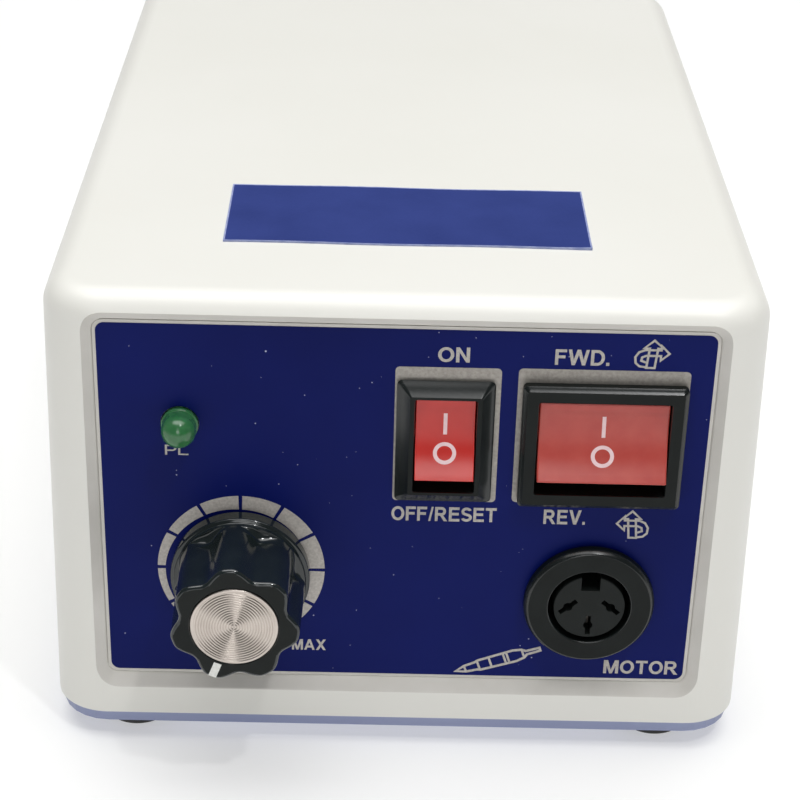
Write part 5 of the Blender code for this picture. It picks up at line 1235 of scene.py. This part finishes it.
def turned_piece(name, profile, ease, steps, material, body, stands_for, place, sharp=45.0):
    """A turned moulding with the corners of its profile rounded."""
    shape = turned(eased(profile, ease), steps)
    return piece(name, shape, material, body, [stands_for], place, sharp=sharp)


# Motor socket: round flanged shell, keyed insert with three contact slots
SOCKET_FACE = 2.3
SOCKET_BACK = -14.8
SOCKET_FLOOR = SOCKET_BACK + 3.0
SOCKET_REAR_BORE = 4.7
SOCKET_BORE = 6.6
SOCKET_FLANGE = 10.45
SOCKET_FLANGE_RIM = 1.5
SOCKET_FACE_RADIUS = 9.9
SOCKET_EASE = 0.3
SOCKET_STEPS = 128
INSERT_RADIUS = 5.7
INSERT_FACE = 2.1
INSERT_BACK = SOCKET_BACK + 3.3
INSERT_EASE = 0.2
KEY_HALF = 1.5
KEY_DEPTH = 2.6
KEY_FLOOR = INSERT_BACK + 3.0
SLOT_HALF_LENGTH = 1.75
SLOT_HALF_WIDTH = 0.4
SLOT_HIGH = 4.0
WELL_RADIUS = 0.75
WELL_FLOOR = INSERT_BACK + 4.0
CONTACTS = ((-3.4, 0.0, 40.0), (3.4, 0.0, -40.0), (0.0, -3.4, 90.0))
SOCKET_AXIS = on_panel(SOCKET_X, SOCKET_Z)
shell_path = [(SOCKET_REAR_BORE, SOCKET_BACK), (SOCKET_BARREL_RADIUS, SOCKET_BACK),
              (SOCKET_BARREL_RADIUS, CLEARANCE), (SOCKET_FLANGE, CLEARANCE),
              (SOCKET_FLANGE, SOCKET_FLANGE_RIM), (SOCKET_FACE_RADIUS, SOCKET_FACE),
              (SOCKET_BORE, SOCKET_FACE), (SOCKET_BORE, SOCKET_FLOOR), (SOCKET_REAR_BORE, SOCKET_FLOOR)]
polish_slopes(turned_piece("socket_shell", shell_path, SOCKET_EASE, SOCKET_STEPS, black_nylon,
                           "control_box", "motor_socket_shell", SOCKET_AXIS))
insert_path = [(0.0, INSERT_BACK), (INSERT_RADIUS, INSERT_BACK), (INSERT_RADIUS, INSERT_FACE),
               (0.0, INSERT_FACE)]
insert = turned_piece("socket_insert", insert_path, INSERT_EASE, SOCKET_STEPS, dull_phenolic, "control_box",
                      "motor_socket_insert", SOCKET_AXIS)
key = block((-KEY_HALF, INSERT_RADIUS - KEY_DEPTH, KEY_FLOOR),
            (KEY_HALF, INSERT_RADIUS + OVERRUN, INSERT_FACE + OVERRUN))
slots = [placed(key, SOCKET_AXIS)]
wells = []
for contact_x, contact_z, lean in CONTACTS:
    place = SOCKET_AXIS @ Matrix.Translation((contact_x, contact_z, 0))
    slot = block((-SLOT_HALF_LENGTH, -SLOT_HALF_WIDTH, INSERT_BACK - OVERRUN),
                 (SLOT_HALF_LENGTH, SLOT_HALF_WIDTH, SLOT_HIGH))
    slots.append(placed(slot, place @ Matrix.Rotation(math.radians(lean), 4, "Z")))
    well = circle(WELL_RADIUS, 32)
    wells.append(placed(stack([(well, WELL_FLOOR), (well, SLOT_HIGH)]), place))
carve(insert, joined(*slots))
carve(insert, joined(*wells))

# Sticker on the top: thin vinyl that lies a little uneven, its cut edges slightly raised
STICKER_WIDTH = 57.8
STICKER_DEPTH = 23.7
STICKER_THICKNESS = 0.18
STICKER_FROM_FRONT = 21.3
STICKER_LOW = COVER_TOP + 0.02
STICKER_COLUMNS = 40
STICKER_ROWS = 18
CUT_EDGE = 0.25
EDGE_LIFT = 0.09
EDGE_FADE = 0.7
CORNER_LIFT = 0.16
CORNER_FADE = 2.5
RIPPLE = 0.025
WANDER = 0.12


def grid_line(length, count):
    """Stations along a side, with a narrow one at each end for the cut edge."""
    inner = [length * step / count for step in range(1, count)]
    return [0.0, CUT_EDGE] + inner + [length - CUT_EDGE, length]


def sticker():
    columns = grid_line(STICKER_WIDTH, STICKER_COLUMNS)
    rows = grid_line(STICKER_DEPTH, STICKER_ROWS)
    last_row = len(rows) - 1
    last_column = len(columns) - 1
    shape = bmesh.new()

    def point(row, column, upper):
        u = column / STICKER_WIDTH
        v = row / STICKER_DEPTH
        x = (u - 0.5) * STICKER_WIDTH
        y = (v - 0.5) * STICKER_DEPTH + WANDER * math.sin(11.0 * u + 4.0 * v) * abs(2 * v - 1)
        if not upper:
            return shape.verts.new((x, y, STICKER_LOW))
        rim = min(column, STICKER_WIDTH - column, row, STICKER_DEPTH - row)
        lift = EDGE_LIFT * math.exp(-rim / EDGE_FADE)
        lift += CORNER_LIFT * math.exp(-math.hypot(STICKER_WIDTH - column, row) / CORNER_FADE)
        lift += RIPPLE * math.sin(9.0 * u + 3.0 * v) * math.sin(5.0 * v + 1.0)
        return shape.verts.new((x, y, STICKER_LOW + STICKER_THICKNESS + lift))

    below = [[point(row, column, False) for column in columns] for row in rows]
    above = [[point(row, column, True) for column in columns] for row in rows]
    for layer in (below, above):
        for row in range(last_row):
            for column in range(last_column):
                face = shape.faces.new((layer[row][column], layer[row][column + 1],
                                        layer[row + 1][column + 1], layer[row + 1][column]))
                face.material_index = int(row in (0, last_row - 1) or column in (0, last_column - 1))
    rim = [(0, column) for column in range(last_column)] + [(row, last_column) for row in range(last_row)]
    rim += [(last_row, column) for column in range(last_column, 0, -1)]
    rim += [(row, 0) for row in range(last_row, 0, -1)]
    for (row, column), (next_row, next_column) in zip(rim, rim[1:] + rim[:1]):
        face = shape.faces.new((below[row][column], below[next_row][next_column],
                                above[next_row][next_column], above[row][column]))
        face.material_index = 1
    return placed(shape, Matrix.Translation((0, FRONT_Y + STICKER_FROM_FRONT + STICKER_DEPTH / 2, 0)))


sticker_piece = piece("top_sticker", sticker(), blue_vinyl, "control_box", ["top_label"], weighted=False)
sticker_piece.data.materials.append(film_edge)

# Feet: rubber pads round their screws
FOOT_BORE = 1.8
FOOT_RADIUS = 5.5
FOOT_HEIGHT = 3.0
FOOT_WELL_RADIUS = 3.3
FOOT_WELL = 2.0
FOOT_EASE = 0.5
foot_path = [(FOOT_BORE, FOOT_HEIGHT), (FOOT_RADIUS, FOOT_HEIGHT), (FOOT_RADIUS, 0.0),
             (FOOT_WELL_RADIUS, 0.0), (FOOT_WELL_RADIUS, FOOT_WELL), (FOOT_BORE, FOOT_WELL)]
for number, (side, end) in enumerate(CORNERS, 1):
    turned_piece(f"rubber_foot_{number}", foot_path, FOOT_EASE, 64, foot_rubber, "control_box",
                 f"foot_{number}", boss_place(side, end), sharp=50.0)

# Cord gland: a flanged tube with four grooves round its sleeve
REAR_STEPS = 72
GLAND_THREAD = 6.2
GLAND_BACK = -11.5
GLAND_BORE = 3.7
GLAND_FLANGE = 8.0
GLAND_FLANGE_RIM = 2.8
GLAND_SLEEVE_FOOT = (5.9, 3.1)
GLAND_SLEEVE_END = 5.6
GLAND_EASE = 0.4
GROOVES = 4
GROOVE_START = 4.4
GROOVE_PITCH = 2.3
GROOVE_WIDTH = 0.9
GROOVE_FLOOR = 4.9
GROOVE_OUTER = 7.0
gland_path = [(GLAND_THREAD, GLAND_BACK), (GLAND_THREAD, CLEARANCE), (GLAND_FLANGE, CLEARANCE),
              (GLAND_FLANGE, GLAND_FLANGE_RIM), GLAND_SLEEVE_FOOT, (GLAND_SLEEVE_END, GLAND_REACH),
              (GLAND_BORE, GLAND_REACH), (GLAND_BORE, GLAND_BACK)]
gland = turned_piece("gland_moulding", gland_path, GLAND_EASE, REAR_STEPS, black_nylon, "control_box",
                     "cord_gland", on_rear(GLAND_X))
grooves = []
for index in range(GROOVES):
    low = GROOVE_START + GROOVE_PITCH * index
    high = low + GROOVE_WIDTH
    corners = [(GROOVE_FLOOR, low), (GROOVE_OUTER, low), (GROOVE_OUTER, high), (GROOVE_FLOOR, high)]
    grooves.append(placed(turned(corners, REAR_STEPS), on_rear(GLAND_X)))
carve(gland, joined(*grooves))

# Fuse holder, and its cap with a driver slot
HOLDER_RADIUS = 6.0
HOLDER_BACK = -34.0
HOLDER_FLANGE = 7.6
HOLDER_FACE = 2.5
HOLDER_BORE = 4.6
HOLDER_FLOOR = -31.0
HOLDER_EASE = 0.35
CAP_HEAD_RADIUS = 5.8
CAP_HEAD_TOP = 6.2
CAP_HEAD_LOW = 2.8
CAP_STEM_RADIUS = 4.2
CAP_STEM_BORE = 2.9
CAP_STEM_END = -6.2
CAP_STEM_FLOOR = -1.2
CAP_HEAD_EASE = 0.3
DRIVER_HALF_LENGTH = 5.2
DRIVER_HALF_WIDTH = 0.7
DRIVER_FLOOR = 5.0
DRIVER_HIGH = 8.0
holder_path = [(0.0, HOLDER_BACK), (HOLDER_RADIUS, HOLDER_BACK), (HOLDER_RADIUS, CLEARANCE),
               (HOLDER_FLANGE, CLEARANCE), (HOLDER_FLANGE, HOLDER_FACE), (HOLDER_BORE, HOLDER_FACE),
               (HOLDER_BORE, HOLDER_FLOOR), (0.0, HOLDER_FLOOR)]
turned_piece("fuse_holder_moulding", holder_path, HOLDER_EASE, REAR_STEPS, black_nylon, "control_box",
             "fuse_holder", on_rear(FUSE_X))
head_path = [(0.0, CAP_HEAD_TOP), (CAP_HEAD_RADIUS, CAP_HEAD_TOP), (CAP_HEAD_RADIUS, CAP_HEAD_LOW),
             (CAP_STEM_RADIUS, CAP_HEAD_LOW), (CAP_STEM_RADIUS, CAP_STEM_END),
             (CAP_STEM_BORE, CAP_STEM_END), (CAP_STEM_BORE, CAP_STEM_FLOOR), (0.0, CAP_STEM_FLOOR)]
fuse_cap = turned_piece("fuse_cap_moulding", head_path, CAP_HEAD_EASE, REAR_STEPS, black_nylon,
                        "fuse_cap_body", "fuse_cap", on_rear(FUSE_X))
driver_slot = block((-DRIVER_HALF_LENGTH, -DRIVER_HALF_WIDTH, DRIVER_FLOOR),
                    (DRIVER_HALF_LENGTH, DRIVER_HALF_WIDTH, DRIVER_HIGH))
carve(fuse_cap, placed(driver_slot, on_rear(FUSE_X)))

# Lever of the mode switch: a ball at its foot, and a bat that widens to a domed tip
LEVER_PIVOT = 5.0
LEVER_LEAN = math.radians(-12.0)
BALL_RADIUS = 1.7
BALL_SPAN = 0.77 * math.pi
BALL_STEPS = 12
BAT_EASE = 0.3
BAT_PATH = ((1.1, 1.3), (1.15, 1.7), (1.6, 7.0), (1.4, 8.1), (0.6, 8.45))
BAT_TIP = 8.5
lever_path = [(0.0, -BALL_RADIUS)]
for step in range(1, BALL_STEPS):
    angle = BALL_SPAN * step / BALL_STEPS - math.pi / 2
    lever_path.append((BALL_RADIUS * math.cos(angle), BALL_RADIUS * math.sin(angle)))
lever_path += eased(BAT_PATH, BAT_EASE, 3)
lever_path.append((0.0, BAT_TIP))
lever_place = (on_rear(MODE_X) @ Matrix.Translation((0, 0, LEVER_PIVOT))
               @ Matrix.Rotation(LEVER_LEAN, 4, "X"))
piece("lever_bat", turned(lever_path, 48), zinc_steel, "mode_lever_body", ["mode_lever"], lever_place,
      sharp=60.0)

# The solids shown as they are: their finish, and how far their edges are broken, in millimetres
BROKEN_ANGLE = math.radians(40.0)
KEPT = {
    "base_tray": (blue_grey_abs, 0.25), "front_label": (label_film, 0.0),
    "potentiometer_shaft": (zinc_steel, 0.1), "potentiometer_body": (zinc_steel, 0.0),
    "potentiometer_nut": (zinc_steel, 0.15), "motor_socket_nut": (zinc_steel, 0.15),
    "gland_nut": (black_nylon, 0.2), "fuse_holder_nut": (black_nylon, 0.2), "fuse": (fuse_glass, 0.0),
    "mode_switch_body": (dull_phenolic, 0.0), "mode_switch_nut": (zinc_steel, 0.15),
    "foot_pedal_jack": (black_nylon, 0.0), "jack_nut": (zinc_steel, 0.15),
    "transformer_core": (iron_sheets, 0.2), "transformer_winding": (winding_tape, 0.0),
    "transformer_strap": (zinc_steel, 0.15), "control_board": (solder_mask, 0.0),
    "filter_capacitor": (blue_sleeve, 0.0), "bridge_rectifier": (dull_phenolic, 0.15),
    "heat_sink": (mill_aluminium, 0.1), "power_transistor": (dull_phenolic, 0.1),
    "mains_lead": (black_pvc, 0.0), "primary_lead": (red_pvc, 0.0), "motor_lead": (yellow_pvc, 0.0),
}
for group, count, finish in (("case_screw", 4, zinc_steel), ("strap_screw", 2, zinc_steel),
                             ("power_terminal", 2, tinned_brass), ("direction_terminal", 6, tinned_brass),
                             ("socket_contact", 3, dull_tin)):
    for number in range(1, count + 1):
        KEPT[f"{group}_{number}"] = (finish, 0.0)
for name, (finish, broken_edge) in KEPT.items():
    kept = nodes[name]
    kept.data.materials.clear()
    kept.data.materials.append(finish)
    if broken_edge:
        edge = kept.modifiers.new("broken edge", "BEVEL")
        edge.width = broken_edge * MM
        edge.segments = 2
        edge.limit_method = "ANGLE"
        edge.angle_limit = BROKEN_ANGLE

# Light table under the box: pale acrylic that glows faintly, in metres
TABLE_HALF = 12.0
TABLE_CORNERS = [(-TABLE_HALF, -TABLE_HALF, 0), (TABLE_HALF, -TABLE_HALF, 0), (TABLE_HALF, TABLE_HALF, 0),
                 (-TABLE_HALF, TABLE_HALF, 0)]
table = bpy.data.meshes.new("table")
table.from_pydata(TABLE_CORNERS, [], [(0, 1, 2, 3)])
table.materials.append(finish_material("back_lit_acrylic", ("#C8C8C7", "#CACAC9"), 0.7, 0.6, 0.02,
                                       {"Emission Strength": 0.42}, patch=200.0))
table_object = bpy.data.objects.new("table", table)
bpy.context.scene.collection.objects.link(table_object)

SKY_STRENGTH = 0.08
sky = bpy.data.worlds.new("studio")
sky.use_nodes = True
background = sky.node_tree.nodes["Background"]
background.inputs["Color"].default_value = linear("#F9FAFB")
background.inputs["Strength"].default_value = SKY_STRENGTH
bpy.context.scene.world = sky

# Studio lights, in metres and watts: kind, place, target, power, and size or spread
LIGHTS = {
    "overhead": ("AREA", (0.0, 0.10, 1.15), (0.0, -0.02, 0.05), 10.4,
                 {"shape": "RECTANGLE", "size": 1.5, "size_y": 1.0}),
    "ceiling": ("SUN", (0.0, 0.0, 2.0), (0.0, 0.0, 0.0), 1.1, {"angle": math.radians(50.0)}),
    "front_box": ("AREA", (0.0, -0.68, 0.57), (-0.02, -0.085, 0.05), 0.24,
                  {"shape": "RECTANGLE", "size": 0.11, "size_y": 0.34}),
    "low_front": ("AREA", (0.0, -0.95, 0.37), (0.0, -0.085, 0.055), 0.9, {"size": 0.32}),
    "glint": ("AREA", (0.24, -0.42, 0.88), (0.0, -0.08, 0.04), 1.3, {"size": 0.04}),
}
for name, (kind, place, target, power, settings) in LIGHTS.items():
    lamp = bpy.data.lights.new(name, kind)
    lamp.energy = power
    for key, value in settings.items():
        setattr(lamp, key, value)
    made = bpy.data.objects.new(name, lamp)
    made.location = place
    made.rotation_euler = (Vector(target) - Vector(place)).to_track_quat("-Z", "Y").to_euler()
    bpy.context.scene.collection.objects.link(made)

# Camera: its focal length in pixels of a square frame, its turns, and its place in metres
FOCAL_PIXELS = 2130.0
FRAME_PIXELS = 800.0
SENSOR = 36.0
VIEW_SHIFT = 0.1
VIEW_NEAR = 0.01
VIEW_FAR = 20.0
VIEW_YAW = math.radians(0.81)
VIEW_PITCH = math.radians(29.493)
VIEW_ROLL = math.radians(-1.636)
VIEW_PLACE = (-0.00453, -0.36837, 0.21261)


def view_matrix():
    ahead = Vector((math.sin(VIEW_YAW) * math.cos(VIEW_PITCH), math.cos(VIEW_YAW) * math.cos(VIEW_PITCH),
                    -math.sin(VIEW_PITCH)))
    right = Vector((math.cos(VIEW_YAW), -math.sin(VIEW_YAW), 0.0))
    down = ahead.cross(right)
    turned_right = right * math.cos(VIEW_ROLL) + down * math.sin(VIEW_ROLL)
    turned_down = down * math.cos(VIEW_ROLL) - right * math.sin(VIEW_ROLL)
    columns = (turned_right, -turned_down, -ahead)
    rows = [[column[row] for column in columns] + [VIEW_PLACE[row]] for row in range(3)]
    return Matrix(rows + [[0.0, 0.0, 0.0, 1.0]])


lens = bpy.data.cameras.new("camera")
lens.sensor_width = SENSOR
lens.lens = FOCAL_PIXELS * SENSOR / FRAME_PIXELS
lens.shift_y = VIEW_SHIFT
lens.clip_start = VIEW_NEAR
lens.clip_end = VIEW_FAR
camera = bpy.data.objects.new("camera", lens)
camera.matrix_world = view_matrix()
bpy.context.scene.collection.objects.link(camera)
bpy.context.scene.camera = camera
bpy.context.scene.view_settings.view_transform = "Standard"

bpy.context.view_layer.update()
